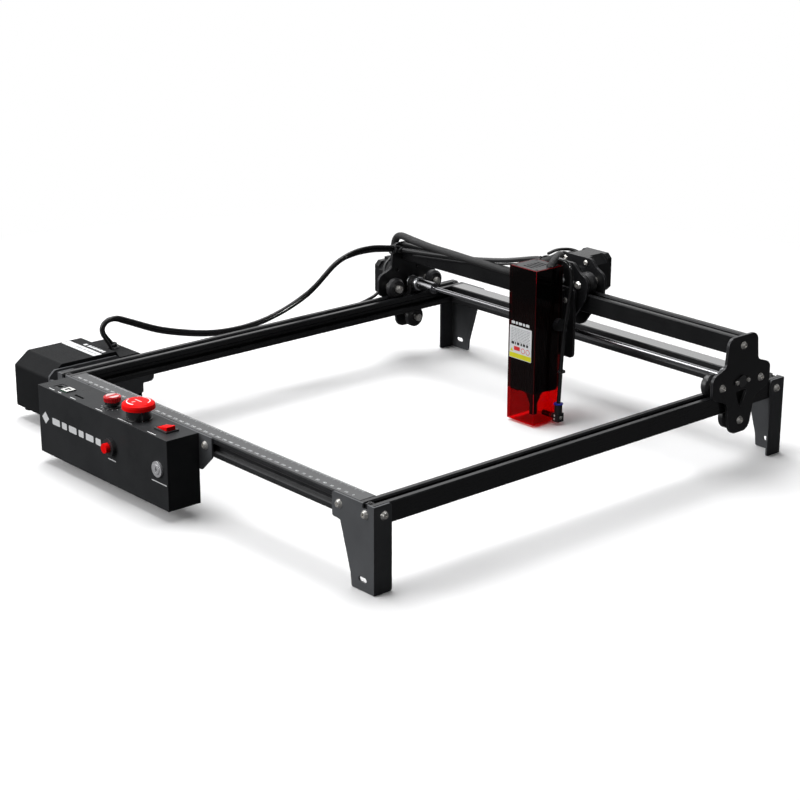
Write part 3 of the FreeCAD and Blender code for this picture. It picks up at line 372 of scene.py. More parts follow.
surface("pump_moulding", (0.0155, 0.016, 0.017), rough=0.56, specular=0.04, grain=1900,
        bump=0.35, depth=7e-5, cells=True, bevel=9e-4, wear=0.12, worn=(0.12, 0.12, 0.125),
        dust=0.08)
surface("zinc_cast", (0.32, 0.32, 0.34), rough=0.42, metal=1.0, grain=900, bump=0.3,
        depth=8e-5, bevel=3.5e-4)
surface("hose_gloss", (0.014, 0.014, 0.015), rough=0.20, drift=0.1, rough_drift=0.06,
        grain=500, bump=0.05, depth=8e-5, bevel=0.0, coat=0.5, coat_rough=0.10)
surface("cable_sheath", (0.016, 0.016, 0.017), rough=0.34, grain=1200, bump=0.10,
        depth=5e-5, bevel=0.0)
surface("turned_brass", (0.70, 0.50, 0.20), rough=0.26, metal=1.0, grain=1500, bump=0.12,
        depth=4e-5, bevel=3.5e-4)
surface("plated_lock", (0.82, 0.82, 0.84), rough=0.22, metal=0.6, drift=0.06, grain=2400,
        bump=0.08, bevel=4e-4, wear=0.2, worn=(0.9, 0.9, 0.9))
surface("white_print", (0.78, 0.79, 0.80), drift=0.05, **PRINT)
surface("grey_print", (0.36, 0.37, 0.38), drift=0.10, **PRINT)
surface("label_stock", (0.82, 0.83, 0.84), rough=0.42, drift=0.03, **LABEL)
surface("label_yellow", (0.80, 0.78, 0.02), rough=0.42, drift=0.05, **LABEL)
surface("label_red", (0.78, 0.03, 0.03), rough=0.42, drift=0.05, **LABEL)
surface("label_grey", (0.42, 0.43, 0.45), rough=0.45, drift=0.05, **LABEL)
surface("collet_blue", (0.01, 0.03, 0.62), rough=0.34, drift=0.05, grain=1500, bump=0.08,
        bevel=2e-4)
surface("socket_white", (0.75, 0.75, 0.73), rough=0.40, drift=0.04, grain=1800, bump=0.08,
        bevel=2e-4)
# Paler copy of the rail finish for the front rail's top: painted sheen where the top catches
# light.
surface("rule_top_painted_sheen", (0.085, 0.087, 0.090), rough=0.40, metal=0.35, **BRUSHED_X,
        bump=0.10, wear=0.4, worn=(0.35, 0.35, 0.35))
red_acrylic()
braided_sleeve()


# ------------------------------------------------------------------ finishes on the CAD pieces
def dress(node, finish):
    """Give every slot of a CAD piece one finish."""
    piece = NODES[node]
    if not piece.data.materials:
        piece.data.materials.append(FINISH[finish])
    for slot in piece.material_slots:
        slot.material = FINISH[finish]


def dress_faces(node, finish, chosen):
    """Give a finish to the faces whose centre (bench x, y, z) is chosen."""
    piece = NODES[node]
    if finish not in [material.name for material in piece.data.materials]:
        piece.data.materials.append(FINISH[finish])
    slot = [material.name for material in piece.data.materials].index(finish)
    for face in piece.data.polygons:
        centre = piece.matrix_world @ face.center
        if chosen(centre.x * 1000.0 - BENCH_X, centre.y * 1000.0 - BENCH_Y, centre.z * 1000.0):
            face.material_index = slot


SLOT_FINISH = {
    "rail_black": "anodised_rail_x_painted_light", "sheet_black": "powder_coated_sheet",
    "plate_black": "anodised_plate", "screw_steel": "zinc_screw",
    "rod_chrome": "ground_rod", "pulley_alu": "turned_aluminium",
    "belt_rubber": "belt_rubber", "wheel_pom": "turned_polymer",
    "motor_black": "motor_lacquer", "box_black": "powder_coated_box",
    "pcb_green": "soldermask", "plastic_black": "moulded_black",
    "plastic_red": "moulded_red", "acrylic_red": "red_acrylic",
    "heatsink_black": "anodised_fins", "pump_body": "pump_moulding",
    "pump_core": "zinc_cast", "hose_black": "hose_gloss",
    "sleeve_black": "braided_sleeve", "brass": "turned_brass", "key_steel": "plated_lock",
}
for subpart in frame["record"]["subparts"]:
    dress(subpart["node"], SLOT_FINISH[subpart["material_slot"]])
# The y rails take the darker copy of the rail finish, painted shade for their sides that face
# away from the lamps.
for node, finish in (("left_rail", "anodised_rail_y_painted_shade"), ("right_rail", "anodised_rail_y_painted_shade"),
                     ("gantry_beam", "anodised_beam"), ("power_knob", "moulded_red_satin"),
                     ("stop_switch_body", "moulded_gloss_black")):
    dress(node, finish)

dress_faces("power_knob", "moulded_gloss_black", lambda x, y, z: z < 89.95)
dress_faces("control_board", "moulded_black", lambda x, y, z: z > 79.5)
# Painted sheen: the rear rail's top takes a paler, glossier copy of the rail finish.
dress_faces("rear_rail", "rear_rail_top_painted_sheen", lambda x, y, z: z > 83.2)
dress_faces("rod_bearing", "moulded_gloss_black", lambda x, y, z: True)
# The screws stand 8.6 to either side of the shaft line
dress_faces("rod_bearing", "zinc_screw",
            lambda x, y, z: abs(abs(y - BEAM_Y) - 8.6) < 2.4 and x > 4.75)


# ------------------------------------------------------------------ mesh helpers
# Corners of a block run through x, then y, then z
BLOCK_FACES = [(0, 1, 3, 2), (4, 6, 7, 5), (0, 4, 5, 1), (2, 3, 7, 6), (0, 2, 6, 4), (1, 5, 7, 3)]


def axes_about(axis):
    """Two directions square to the axis, and the axis itself, all of unit length."""
    axis = Vector(axis).normalized()
    helper = Vector((0, 0, 1)) if abs(axis.z) < 0.9 else Vector((1, 0, 0))
    side = axis.cross(helper).normalized()
    return side, axis.cross(side).normalized(), axis


def spline(stations, steps=12):
    """Catmull-Rom curve through the stations."""
    knots = [Vector(station) for station in stations]
    knots = [knots[0] * 2 - knots[1]] + knots + [knots[-1] * 2 - knots[-2]]
    line = []
    for i in range(1, len(knots) - 2):
        before, start, end, after = knots[i - 1:i + 3]
        for k in range(steps):
            t = k / steps
            line.append(0.5 * ((2 * start) + (-before + end) * t
                               + (2 * before - 5 * start + 4 * end - after) * t * t
                               + (-before + 3 * start - 3 * end + after) * t ** 3))
    line.append(knots[-2])
    return line


def resample(line, step):
    """Evenly spaced points along a line, and its length."""
    along = [0.0]
    for start, end in zip(line, line[1:]):
        along.append(along[-1] + (end - start).length)
    count = max(2, int(along[-1] / step))
    points, j = [], 0
    for i in range(count + 1):
        target = along[-1] * i / count
        while j < len(along) - 2 and along[j + 1] < target:
            j += 1
        t = (target - along[j]) / max(1e-9, along[j + 1] - along[j])
        points.append(line[j].lerp(line[j + 1], min(1.0, max(0.0, t))))
    return points, along[-1]


def smoothed(line, rounds=3):
    for _ in range(rounds):
        middle = [(line[i - 1] + line[i] * 2 + line[i + 1]) / 4 for i in range(1, len(line) - 1)]
        line = [line[0]] + middle + [line[-1]]
    return line


def flat_on(z):
    """Places (x, y, lift) on a level face that looks up."""
    return lambda u, v, lift: bench(u, v, z + lift)


def upright_on(y):
    """Places (x, z, lift) on an upright face that looks to the front."""
    return lambda u, v, lift: bench(u, y - lift, v)


class Part:
    """Collects points and faces, each face with its finish, for one mesh object."""

    def __init__(self, name):
        self.name = name
        self.points = []
        self.faces = []         # (point numbers, finish number, smooth, corner UVs or None)
        self.finishes = []

    def add_faces(self, start, faces, finish, smooth=False, uvs=None):
        if finish not in self.finishes:
            self.finishes.append(finish)
        number = self.finishes.index(finish)
        for i, face in enumerate(faces):
            corners = tuple(start + corner for corner in face)
            self.faces.append((corners, number, smooth, uvs[i] if uvs else None))

    def add(self, points, faces, finish, smooth=False, uvs=None):
        start = len(self.points)
        self.points += points
        self.add_faces(start, faces, finish, smooth, uvs)
        return start

    def box(self, x_range, y_range, z_range, finish):
        points = [bench(x, y, z) for x in x_range for y in y_range for z in z_range]
        self.add(points, BLOCK_FACES, finish)

    def turn(self, profile, centre, axis, finish, segments, ring=False, wobble=None):
        """Turn (radius, height) points about an axis.

        A ring's profile closes on itself; any other is closed to the axis at both ends.
        wobble(angle, height) scales the radius."""
        if not ring:
            profile = [(0.0, profile[0][1]), *profile, (0.0, profile[-1][1])]
        side, up, axis = axes_about(axis)
        origin = bench(*centre)
        points, faces = [], []
        count = len(profile)
        for i in range(segments):
            angle = 2 * math.pi * i / segments
            outward = side * math.cos(angle) + up * math.sin(angle)
            for radius, height in profile:
                reach = radius * (wobble(angle, height) if wobble else 1.0)
                points.append(origin + outward * (reach / 1000.0) + axis * (height / 1000.0))
        for i in range(segments):
            here, beyond = i * count, (i + 1) % segments * count
            for j in range(count if ring else count - 1):
                k = (j + 1) % count
                faces.append((here + j, beyond + j, beyond + k, here + k))
        self.add(points, faces, finish, smooth=True)

    def tube(self, stations, radius, finish, sides, step=2.0):
        """Round tube; radius is a number or a function of angle and metres along."""
        line, length = resample(spline(stations), step)
        line = smoothed(line)
        last = len(line) - 1
        tangents = [(line[min(i + 1, last)] - line[max(i - 1, 0)]).normalized()
                    for i in range(last + 1)]
        side = axes_about(tangents[0])[0]
        points, faces, uvs = [], [], []
        along = 0.0
        for i, centre in enumerate(line):
            if i:
                along += (centre - line[i - 1]).length
                side = tangents[i - 1].rotation_difference(tangents[i]) @ side
                side = (side - tangents[i] * side.dot(tangents[i])).normalized()
            up = tangents[i].cross(side)
            for k in range(sides):
                angle = 2 * math.pi * k / sides
                reach = radius(angle, along / 1000.0) if callable(radius) else radius
                outward = side * math.cos(angle) + up * math.sin(angle)
                points.append(bench(*(centre + outward * reach)))
        for i in range(last):
            here, beyond = i * sides, (i + 1) * sides
            low, high = length * i / last / 1000.0, length * (i + 1) / last / 1000.0
            for k in range(sides):
                j = (k + 1) % sides
                faces.append((here + k, here + j, beyond + j, beyond + k))
                left, right = k / sides, (k + 1) / sides
                uvs.append(((left, low), (right, low), (right, high), (left, high)))
        start = self.add(points, faces, finish, smooth=True, uvs=uvs)
        ends = [range(sides - 1, -1, -1), range(last * sides, (last + 1) * sides)]
        self.add_faces(start, ends, finish)

    def raise_faces(self, outline, faces, on, height, finish):
        """Flat faces over (u, v) points, given a height and walls on their open edges."""
        count = len(outline)
        top = [on(u, v, height) for u, v in outline]
        foot = [on(u, v, 0.0) for u, v in outline]
        self.add(top, faces, finish)
        edges = dict.fromkeys((face[i], face[(i + 1) % len(face)])
                              for face in faces for i in range(len(face)))
        walls = [(i, j, count + j, count + i) for i, j in edges if (j, i) not in edges]
        self.add(top + foot, walls, finish)

    def bar(self, left, right, low, high, on, height, finish, corner=0.0):
        """Raised rectangle, with rounded corners if a corner radius is given."""
        if corner:
            outline = []
            for u, v, start in ((right - corner, high - corner, 0),
                                (left + corner, high - corner, 90),
                                (left + corner, low + corner, 180),
                                (right - corner, low + corner, 270)):
                for k in range(6):
                    angle = math.radians(start + 90.0 * k / 5)
                    outline.append((u + corner * math.cos(angle), v + corner * math.sin(angle)))
        else:
            outline = [(left, low), (right, low), (right, high), (left, high)]
        self.raise_faces(outline, [range(len(outline))], on, height, finish)

    def done(self, body, slot, bevel=0.0):
        """Make the object, round its edges (metres) and tie it to a body; the slot is not used.
        """
        mesh = bpy.data.meshes.new(self.name)
        mesh.from_pydata(self.points, [], [face[0] for face in self.faces])
        for finish in self.finishes:
            mesh.materials.append(FINISH[finish])
        for polygon, (_, number, smooth, _) in zip(mesh.polygons, self.faces):
            polygon.material_index = number
            polygon.use_smooth = smooth
        if any(face[3] for face in self.faces):
            layer = mesh.uv_layers.new(name="UVMap")
            for polygon, (_, _, _, uvs) in zip(mesh.polygons, self.faces):
                for loop, corner in zip(polygon.loop_indices, uvs or ()):
                    layer.data[loop].uv = corner
        mesh.validate()
        work = bmesh.new()
        work.from_mesh(mesh)
        bmesh.ops.recalc_face_normals(work, faces=work.faces)
        work.to_mesh(mesh)
        work.free()
        made = bpy.data.objects.new(self.name, mesh)
        bpy.context.scene.collection.objects.link(made)
        if bevel > 0:
            edge = made.modifiers.new("edge", "BEVEL")
            edge.width = bevel
            edge.segments = 2
            edge.limit_method = "ANGLE"
            edge.angle_limit = math.radians(35.0)
            depsgraph = bpy.context.evaluated_depsgraph_get()
            rounded = bpy.data.meshes.new_from_object(made.evaluated_get(depsgraph))
            made.modifiers.clear()
            made.data = rounded
        if body:
            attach(made, body)
        return made


def text_mesh(text, size):
    """Points and faces of a centred line of text."""
    curve = bpy.data.curves.new("text", "FONT")
    curve.body = text
    curve.size = size
    curve.align_x = "CENTER"
    curve.align_y = "CENTER"
    curve.resolution_u = 2
    holder = bpy.data.objects.new("text", curve)
    bpy.context.scene.collection.objects.link(holder)
    depsgraph = bpy.context.evaluated_depsgraph_get()
    mesh = bpy.data.meshes.new_from_object(holder.evaluated_get(depsgraph))
    points = [vertex.co.copy() for vertex in mesh.vertices]
    faces = [tuple(polygon.vertices) for polygon in mesh.polygons]
    bpy.data.objects.remove(holder)
    bpy.data.curves.remove(curve)
    bpy.data.meshes.remove(mesh)
    return points, faces


# ------------------------------------------------------------------ rule on the front rail
# Millimetre marks count from the right; their rear ends line up
RULE_ZERO_X = -35.8
MARK_REAR_Y, NUMBER_Y = 21.2, 7.0
NUMBER_WIDEN = 1.12
rule_ink = dict(on=flat_on(DECK_Z), height=0.03, finish="white_print")

part = Part("rule_marks")
for mark in range(441):
    x = RULE_ZERO_X - mark
    if mark % 10 == 0:
        length, width = 4.6, 0.26
    elif mark % 5 == 0:
        length, width = 3.4, 0.22
    else:
        length, width = 2.3, 0.20
    part.bar(x - width / 2, x + width / 2, MARK_REAR_Y - length, MARK_REAR_Y, **rule_ink)
for number in range(0, 450, 10):
    points, faces = text_mesh(str(number), size=3.6)
    x = RULE_ZERO_X - number
    outline = [(x + point.x * NUMBER_WIDEN, NUMBER_Y + point.y) for point in points]
    part.raise_faces(outline, faces, **rule_ink)
part.done("base", "screw_steel")

# Only the top of the front rail takes the paler rule finish, a painted sheen for the light the
# top catches; the rest matches the other rails
dress("front_rail", "rule_top_painted_sheen")
rail = NODES["front_rail"].data
rail.materials.append(FINISH["anodised_rail_x_painted_light"])
for face in rail.polygons:
    on_top = face.normal.z > 0.9 and face.center.z * 1000 > 83.3
    face.material_index = 0 if on_top else len(rail.materials) - 1

# ------------------------------------------------------------------ belts
BELT_HALF = 3.0                 # half the belt's width
TOOTH_PITCH = 2.0
TOOTH_FOOT, TOOTH_TIP = 0.95, 1.30      # heights above the belt's under side


def toothed_belt(name, start, end, axis, centre, z, body):
    """Flat belt along x or y, with its teeth on top."""
    profile = [(start, TOOTH_FOOT)]
    for k in range(int((end - start) / TOOTH_PITCH)):
        tooth = start + k * TOOTH_PITCH
        profile += [(tooth + 0.35, TOOTH_FOOT), (tooth + 0.60, TOOTH_TIP),
                    (tooth + 1.10, TOOTH_TIP), (tooth + 1.35, TOOTH_FOOT)]
    profile.append((end, TOOTH_FOOT))
    flat = [(along, 0.0) for along, _ in profile]
    points, faces = [], []
    for side in (-BELT_HALF, BELT_HALF):
        for along, height in profile + flat:
            x, y = (centre + side, along) if axis == "y" else (along, centre + side)
            points.append(bench(x, y, z + height))
    n = len(profile)
    for i in range(n - 1):
        faces += [(i, i + 1, 2 * n + i + 1, 2 * n + i),                         # top
                  (n + i, 3 * n + i, 3 * n + i + 1, n + i + 1),                 # under side
                  (i, n + i, n + i + 1, i + 1),                                 # flanks
                  (2 * n + i, 2 * n + i + 1, 3 * n + i + 1, 3 * n + i)]
    faces += [(0, 2 * n, 3 * n, n), (n - 1, 2 * n - 1, 4 * n - 1, 3 * n - 1)]
    part = Part(name)
    part.add(points, faces, "belt_rubber")
    return part.done(body, "belt_rubber")


y_belt = dict(start=3.2, end=559.8, axis="y", z=77.65, body="base")
left_belt = toothed_belt("left_belt_teeth", centre=LEFT_BELT_X, **y_belt)
toothed_belt("right_belt_teeth", centre=RIGHT_BELT_X, **y_belt)
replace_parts(left_belt, "y_belts")
x_belt = toothed_belt("x_belt_teeth", start=-503.8, end=-3.2, axis="x", centre=BEAM_Y,
                      z=137.4, body="gantry")
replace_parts(x_belt, "x_belt")


def belt_loop(name, centre, axis, run_z, body):
    """Belt rising from its run and over the pulley that turns about the axis."""
    radius, thick, reach = 6.7, 1.2, 17.0
    run = run_z - centre[2]
    rise = [(-reach, run), (-reach * 0.62, run + 0.3), (-radius - 1.6, run + 4.2)]
    angles = [math.pi * (1.10 - 1.20 * k / 24.0) for k in range(25)]
    over = [(radius * math.cos(angle), radius * math.sin(angle)) for angle in angles]
    inside = rise + over + [(-along, height) for along, height in reversed(rise)]
    n = len(inside)
    outside = []
    for i, (along, height) in enumerate(inside):
        before, after = inside[max(0, i - 1)], inside[min(n - 1, i + 1)]
        run_way = Vector((after[0] - before[0], after[1] - before[1])).normalized()
        outside.append((along - run_way.y * thick, height + run_way.x * thick))
    x, y, z = centre
    points, faces = [], []
    for side in (-BELT_HALF, BELT_HALF):
        for along, height in inside + outside:
            dx, dy = (side, along) if axis == "x" else (along, side)
            points.append(bench(x + dx, y + dy, z + height))
    m = 2 * n
    for i in range(n - 1):
        faces += [(i, i + 1, m + i + 1, m + i), (n + i, m + n + i, m + n + i + 1, n + i + 1),
                  (i, n + i, n + i + 1, i + 1), (m + i, m + i + 1, m + n + i + 1, m + n + i)]
    faces += [(0, m, m + n, n), (n - 1, 2 * n - 1, m + 2 * n - 1, m + n - 1)]
    part = Part(name)
    part.add(points, faces, "belt_rubber")
    part.done(body, "belt_rubber")


belt_loop("left_belt_loop", (LEFT_BELT_X, BEAM_Y, Y_SHAFT_Z), "x", 79.6, "gantry")
belt_loop("right_belt_loop", (RIGHT_BELT_X, BEAM_Y, Y_SHAFT_Z), "x", 79.6, "gantry")
belt_loop("x_belt_loop", (CARRIAGE_X, BEAM_Y, X_SHAFT_Z), "y", 139.4, "carriage")


# ------------------------------------------------------------------ pulleys
# (radius, height): flange, 20 teeth, flange and hub
PULLEY = [(2.52, 0.0), (7.7, 0.0), (8.0, 0.25), (8.0, 1.0), (7.6, 1.2), (6.15, 1.3),
          (6.15, 8.3), (7.6, 8.4), (8.0, 8.6), (8.0, 14.4), (7.6, 14.8), (2.52, 14.8)]


def pulley_teeth(angle, height):
    """Radius factor that cuts the gaps between the teeth."""
    if 1.25 < height < 8.35:
        t = (angle * 20 / (2 * math.pi)) % 1.0
        return 1.0 - 0.115 * (0.5 + 0.5 * math.cos(2 * math.pi * t)) ** 2
    return 1.0


def add_pulley(part, start, axis):
    part.turn(PULLEY, start, axis, "turned_aluminium", 120, ring=True, wobble=pulley_teeth)


part = Part("belt_pulleys")
add_pulley(part, (LEFT_BELT_X - 4.6, BEAM_Y, Y_SHAFT_Z), (1, 0, 0))
add_pulley(part, (RIGHT_BELT_X + 4.6, BEAM_Y, Y_SHAFT_Z), (-1, 0, 0))
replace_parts(part.done("y_shaft", "pulley_alu"), "y_pulleys")

part = Part("x_belt_pulley")
start = (CARRIAGE_X, BEAM_Y - 5.0, X_SHAFT_Z)
add_pulley(part, start, (0, 1, 0))
part.turn([(2.3, 0.0), (2.5, 0.3), (2.5, 43.6), (2.3, 44.0)], start, (0, 1, 0), "ground_rod", 32)
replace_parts(part.done("x_shaft", "pulley_alu"), "x_pulley")

# ------------------------------------------------------------------ bearings in the wheels
# One shield on each face of a wheel, (radius, height) outward from the wheel
SHIELD = [(2.62, 0.0), (7.9, 0.0), (7.9, 0.50), (7.5, 0.62), (6.7, 0.62), (6.6, 0.35),
          (4.1, 0.35), (4.0, 0.66), (2.75, 0.70), (2.62, 0.6)]
for group, places, axis in (("left", ("front", "rear", "lower"), (1, 0, 0)),
                            ("right", ("front", "rear", "lower"), (1, 0, 0)),
                            ("carriage", ("left", "right", "lower"), (0, 1, 0))):
    for place in places:
        wheel = group + "_wheel_" + place
        low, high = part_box(wheel)
        middle = (low + high) / 2 * 1000.0
        middle = Vector((middle.x - BENCH_X, middle.y - BENCH_Y, middle.z))
        part = Part(wheel + "_bearings")
        for sign in (-1, 1):
            outward = Vector(axis) * sign
            part.turn(SHIELD, middle + outward * 4.35, outward, "bearing_shield", 40, ring=True)
        part.done(wheel + "_body", "screw_steel")

# ------------------------------------------------------------------ soft lines
# Each line is a list of (x, y, z) stations
PUMP_HOSE = [
    (-590, 123.5, 67.0), (-590.8, 117.8, 75.0), (-592, 112.4, 82.5), (-591.6, 110.6, 90.5),
    (-590, 115.6, 97.9), (-588, 125.7, 99.6), (-584, 140, 93.8), (-571, 180.3, 77.9),
    (-556, 238.4, 67.6), (-543, 296, 73.4), (-529, 348.6, 96.9), (-516, 383.4, 131.6),
    (-510, 403.0, 141.0), (-506, 429.1, 142.9), (-504.8, 455.3, 139.6), (-504.2, 472.0, 137.0)]
PUMP_LEAD = [
    (-584, 119.0, 60.0), (-584.6, 114.5, 72.0), (-586, 108.6, 82.5), (-586.6, 106.2, 91.5),
    (-585, 112.6, 100.6), (-582.5, 124.7, 103.0), (-579, 139.5, 97.4), (-566.6, 180.0, 82.0),
    (-552, 238.4, 71.6), (-539.4, 295.6, 77.4), (-525.6, 346.6, 100.9), (-512.8, 381.4, 134.0),
    (-507.4, 402.6, 145.0), (-504.6, 429.1, 147.1), (-503.0, 455.3, 143.4),
    (-502.0, 471.0, 140.4)]
BEAM_HOSE = [
    (-504.2, 471.0, 137.0), (-498.0, 471.8, 137.4), (-479.6, 473.0, 138.8),
    (-449.5, 474.0, 141.7), (-420.0, 475.0, 144.4), (-391.0, 475.8, 147.4),
    (-362.6, 476.0, 151.6), (-330.7, 473.4, 157.8), (-312.5, 469.8, 162.4),
    (-289.9, 467.2, 168.4), (-279.0, 467.3, 171.2), (-271.0, 467.6, 173.0),
    (-265.2, 467.9, 173.9)]
# A thin lead hangs below the middle of the hose, then turns up to the carriage
BEAM_LEAD = [(x, y - 0.6, z - 4.2) for x, y, z in BEAM_HOSE[2:9]] + [
    (-300, 466.8, 161.0), (-288, 465.6, 164.6), (-276, 465.2, 169.0), (-266, 466.0, 172.0)]
BEAM_SLEEVE = [
    (-527.0, 489, 119.0), (-530.4, 489, 128.0), (-531.6, 489, 135.0), (-529.6, 489, 141.6),
    (-524.0, 487.8, 146.6), (-515.0, 485.4, 149.4), (-503.0, 481.8, 150.3),
    (-488.0, 478.9, 150.0), (-471.6, 477.4, 149.3), (-453.5, 476.6, 148.7),
    (-419.0, 475.6, 148.0), (-388.0, 474.6, 147.8), (-360.0, 473.4, 148.0),
    (-335.0, 471.8, 148.2), (-316.0, 469.4, 149.0), (-301.0, 467.2, 152.0),
    (-288.0, 466.4, 157.6), (-277.0, 466.6, 163.8), (-267.5, 467.0, 168.6), (-260, 467.0, 171.2)]
HEAD_SLEEVE = [
    (-263, 467.0, 170.2), (-254, 467.3, 173.4), (-245, 468.0, 178.0), (-237.5, 467.4, 182.6),
    (-232.0, 463.6, 185.0), (-229.2, 457.6, 184.8), (-228.4, 451.8, 182.0),
    (-228.4, 447.6, 178.2), (-228.5, 446.0, 173.8)]
HEAD_TUBE = [
    (-215.2, 450.0, 23.4), (-214.2, 450.0, 42.0), (-213.4, 450.4, 65.5), (-213.0, 451.6, 87.2),
    (-212.8, 454.2, 109.7), (-211.8, 457.2, 132.9), (-210.6, 459.0, 150.0),
    (-209.9, 459.6, 162.0), (-211.2, 459.6, 171.5), (-214.4, 458.8, 178.4),
    (-219.6, 457.0, 182.4), (-226.0, 454.4, 183.4)]
Y_MOTOR_LEAD = [
    (-500, 4.0, 61.0), (-511, 14.0, 64.0), (-514.0, 60.0, 69.5), (-514.6, 160.0, 70.6),
    (-515.0, 264.0, 71.3), (-515.0, 330.0, 71.8), (-515.0, 374.0, 74.0), (-515.0, 405.0, 75.6),
    (-515.2, 436.0, 81.0), (-516.0, 451.0, 87.0), (-521.0, 463.0, 97.0), (-530.0, 472.0, 112.0),
    (-531.0, 482.0, 119.0)]
X_MOTOR_LEAD = [(-256, 470.0, 181.0), (-262, 488.0, 180.6), (-266, 506.0, 178.0),
                (-262, 516.0, 176.0), (-256, 521.0, 172.5)]
BOX_LEAD = [(-493.0, -12.0, 44.0), (-500.0, -11.5, 44.5), (-506.5, -8.0, 48.0),
            (-510.5, -1.0, 54.0), (-511.5, 8.0, 60.0), (-513.0, 24.0, 66.0),
            (-514.0, 60.0, 69.5)]

HOSE = dict(finish="hose_gloss", sides=24)
CABLE = dict(finish="cable_sheath", sides=16)
BRAID = dict(finish="braided_sleeve", sides=48, step=0.9)


def hang(part, slot, replaced=None):
    """Finish a line that bends between two bodies."""
    line = part.done(None, slot)
    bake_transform(line)
    if replaced:
        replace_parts(line, replaced)


def woven(radius):
    """Radius of a braided sleeve with raised strands and a slow swell."""
    def relief(angle, along):
        turn, rise = 12 * angle, BRAID_TWIST * along
        strands = 0.22 * math.sin(turn + rise) * math.sin(turn - rise)
        return radius + strands + 0.18 * math.sin(95.0 * along + 0.6)
    return relief


part = Part("air_hose_line")
part.tube(PUMP_HOSE, 3.0, **HOSE)
hang(part, "hose_black", "air_hose")

part = Part("signal_lead")
part.tube(PUMP_LEAD, 1.7, **CABLE)
hang(part, "hose_black")

part = Part("air_hose_beam")
part.tube(BEAM_HOSE, 2.8, **HOSE)
part.tube(BEAM_LEAD, 1.2, **CABLE)
hang(part, "hose_black")

part = Part("beam_cable_sleeve")
part.tube(BEAM_SLEEVE, woven(4.2), **BRAID)
hang(part, "sleeve_black", "cable_sleeve")

part = Part("head_cable_sleeve")
part.tube(HEAD_SLEEVE, woven(4.4), **BRAID)
hang(part, "sleeve_black")

part = Part("head_air_line")
part.tube(HEAD_TUBE, 2.2, **HOSE)
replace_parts(part.done("head", "hose_black"), "head_air_tube")

part = Part("y_motor_lead")
part.tube(Y_MOTOR_LEAD, 1.9, **CABLE)
hang(part, "hose_black")

part = Part("x_motor_lead")
part.tube(X_MOTOR_LEAD, 1.7, **CABLE, step=1.5)
part.done("carriage", "hose_black")


# ------------------------------------------------------------------ ties on the lines
def tie(name, centre, axis, radius, body, width=2.4):
    """Band round a line, with its square head to one side."""
    half = width / 2
    band = [(radius, -half), (radius + 0.9, -half), (radius + 1.0, -half + 0.2),
            (radius + 1.0, half - 0.2), (radius + 0.9, half), (radius, half)]
    part = Part(name)
    part.turn(band, centre, axis, "moulded_black", 32, ring=True)
    side, up, axis = axes_about(axis)
    head = Vector(centre) + side * (radius + 1.6)
    corners = [bench(*(head + side * a + up * b + axis * c))
               for a in (-1.0, 1.4) for b in (-2.0, 2.0) for c in (-1.7, 1.7)]
    part.add(corners, BLOCK_FACES, "moulded_black")
    part.done(body, "plastic_black", bevel=0.0002)


tie("hose_tie_beam", (-498.4, 471.8, 137.4), (1.0, 0.06, 0.07), 2.9, "gantry")
tie("hose_tie_left", (-504.6, 462.0, 138.6), (0.0, 1.0, -0.25), 5.0, "gantry")
tie("sleeve_tie_motor", (-530.4, 489.0, 128.0), (-0.25, 0.0, 1.0), 4.6, "gantry")
tie("sleeve_tie_top", (-262.5, 467.0, 170.5), (1.0, 0.0, 0.36), 4.6, "carriage")
tie("tube_tie_low", (-213.6, 450.3, 60.0), (0.0, 0.0, 1.0), 2.3, "head", width=2.0)

# ------------------------------------------------------------------ belt end clamps
CLAMP_SCREW = [(2.2, 0.0), (2.2, 0.9), (1.9, 1.2), (1.1, 1.2), (1.0, 0.5)]
for side, x in (("left", LEFT_BELT_X), ("right", RIGHT_BELT_X)):
    for end, y in (("front", 6.0), ("rear", 557.0)):
        part = Part("belt_clamp_%s_%s" % (side, end))
        part.box((x - 2.7, x + 2.7), (y - 3.2, y + 3.2), (79.1, 82.9), "moulded_black")
        part.turn(CLAMP_SCREW, (x, y, 82.7), (0, 0, 1), "turned_polymer", 24)
        part.done("base", "plastic_black", bevel=0.00025)

# ------------------------------------------------------------------ control box
UP = (0, 0, 1)

# A diamond and six blocks across the front, with two fine lines below them
front_ink = dict(on=upright_on(BOX_FRONT_Y), height=0.05, finish="white_print")
part = Part("box_graphics_front")
part.raise_faces([(-474.0, 44.0), (-467.5, 50.5), (-474.0, 57.0), (-480.5, 50.5)],
                 [(0, 1, 2, 3)], **front_ink)
x = -461.0
for width in (14.0, 9.0) * 3:
    part.bar(x, x + width, 47.0, 54.0, **front_ink, corner=1.2)
    x += width + 4.0
for left, right, z in ((-360.0, -346.0, 38.0), (-284.5, -259.5, 37.5)):
    part.bar(left, right, z - 0.5, z + 0.5, **front_ink, corner=0.4)
part.done("base", "screw_steel")

# Lines along the front edge of the top, as (middle x, half length), and the dial marks
top_ink = dict(on=flat_on(DECK_Z), height=0.05, finish="white_print")
part = Part("box_graphics_top")
for x, half in ((-463.5, 5.0), (-448.5, 3.2), (-424.0, 5.0), (-376.5, 6.0), (-331.5, 12.0),
                (-286.0, 7.0)):
    part.bar(x - half, x + half, -35.2, -34.2, **top_ink, corner=0.4)
for k in range(11):
    angle = math.radians(-225 + 27 * k)
    cosine, sine = math.cos(angle), math.sin(angle)
    mark = [(KNOB_X + cosine * out - sine * across, CONTROLS_Y + sine * out + cosine * across)
            for out, across in ((10.2, -0.25), (12.0, -0.25), (12.0, 0.25), (10.2, 0.25))]
    part.raise_faces(mark, [(0, 1, 2, 3)], **top_ink)
part.done("base", "screw_steel")

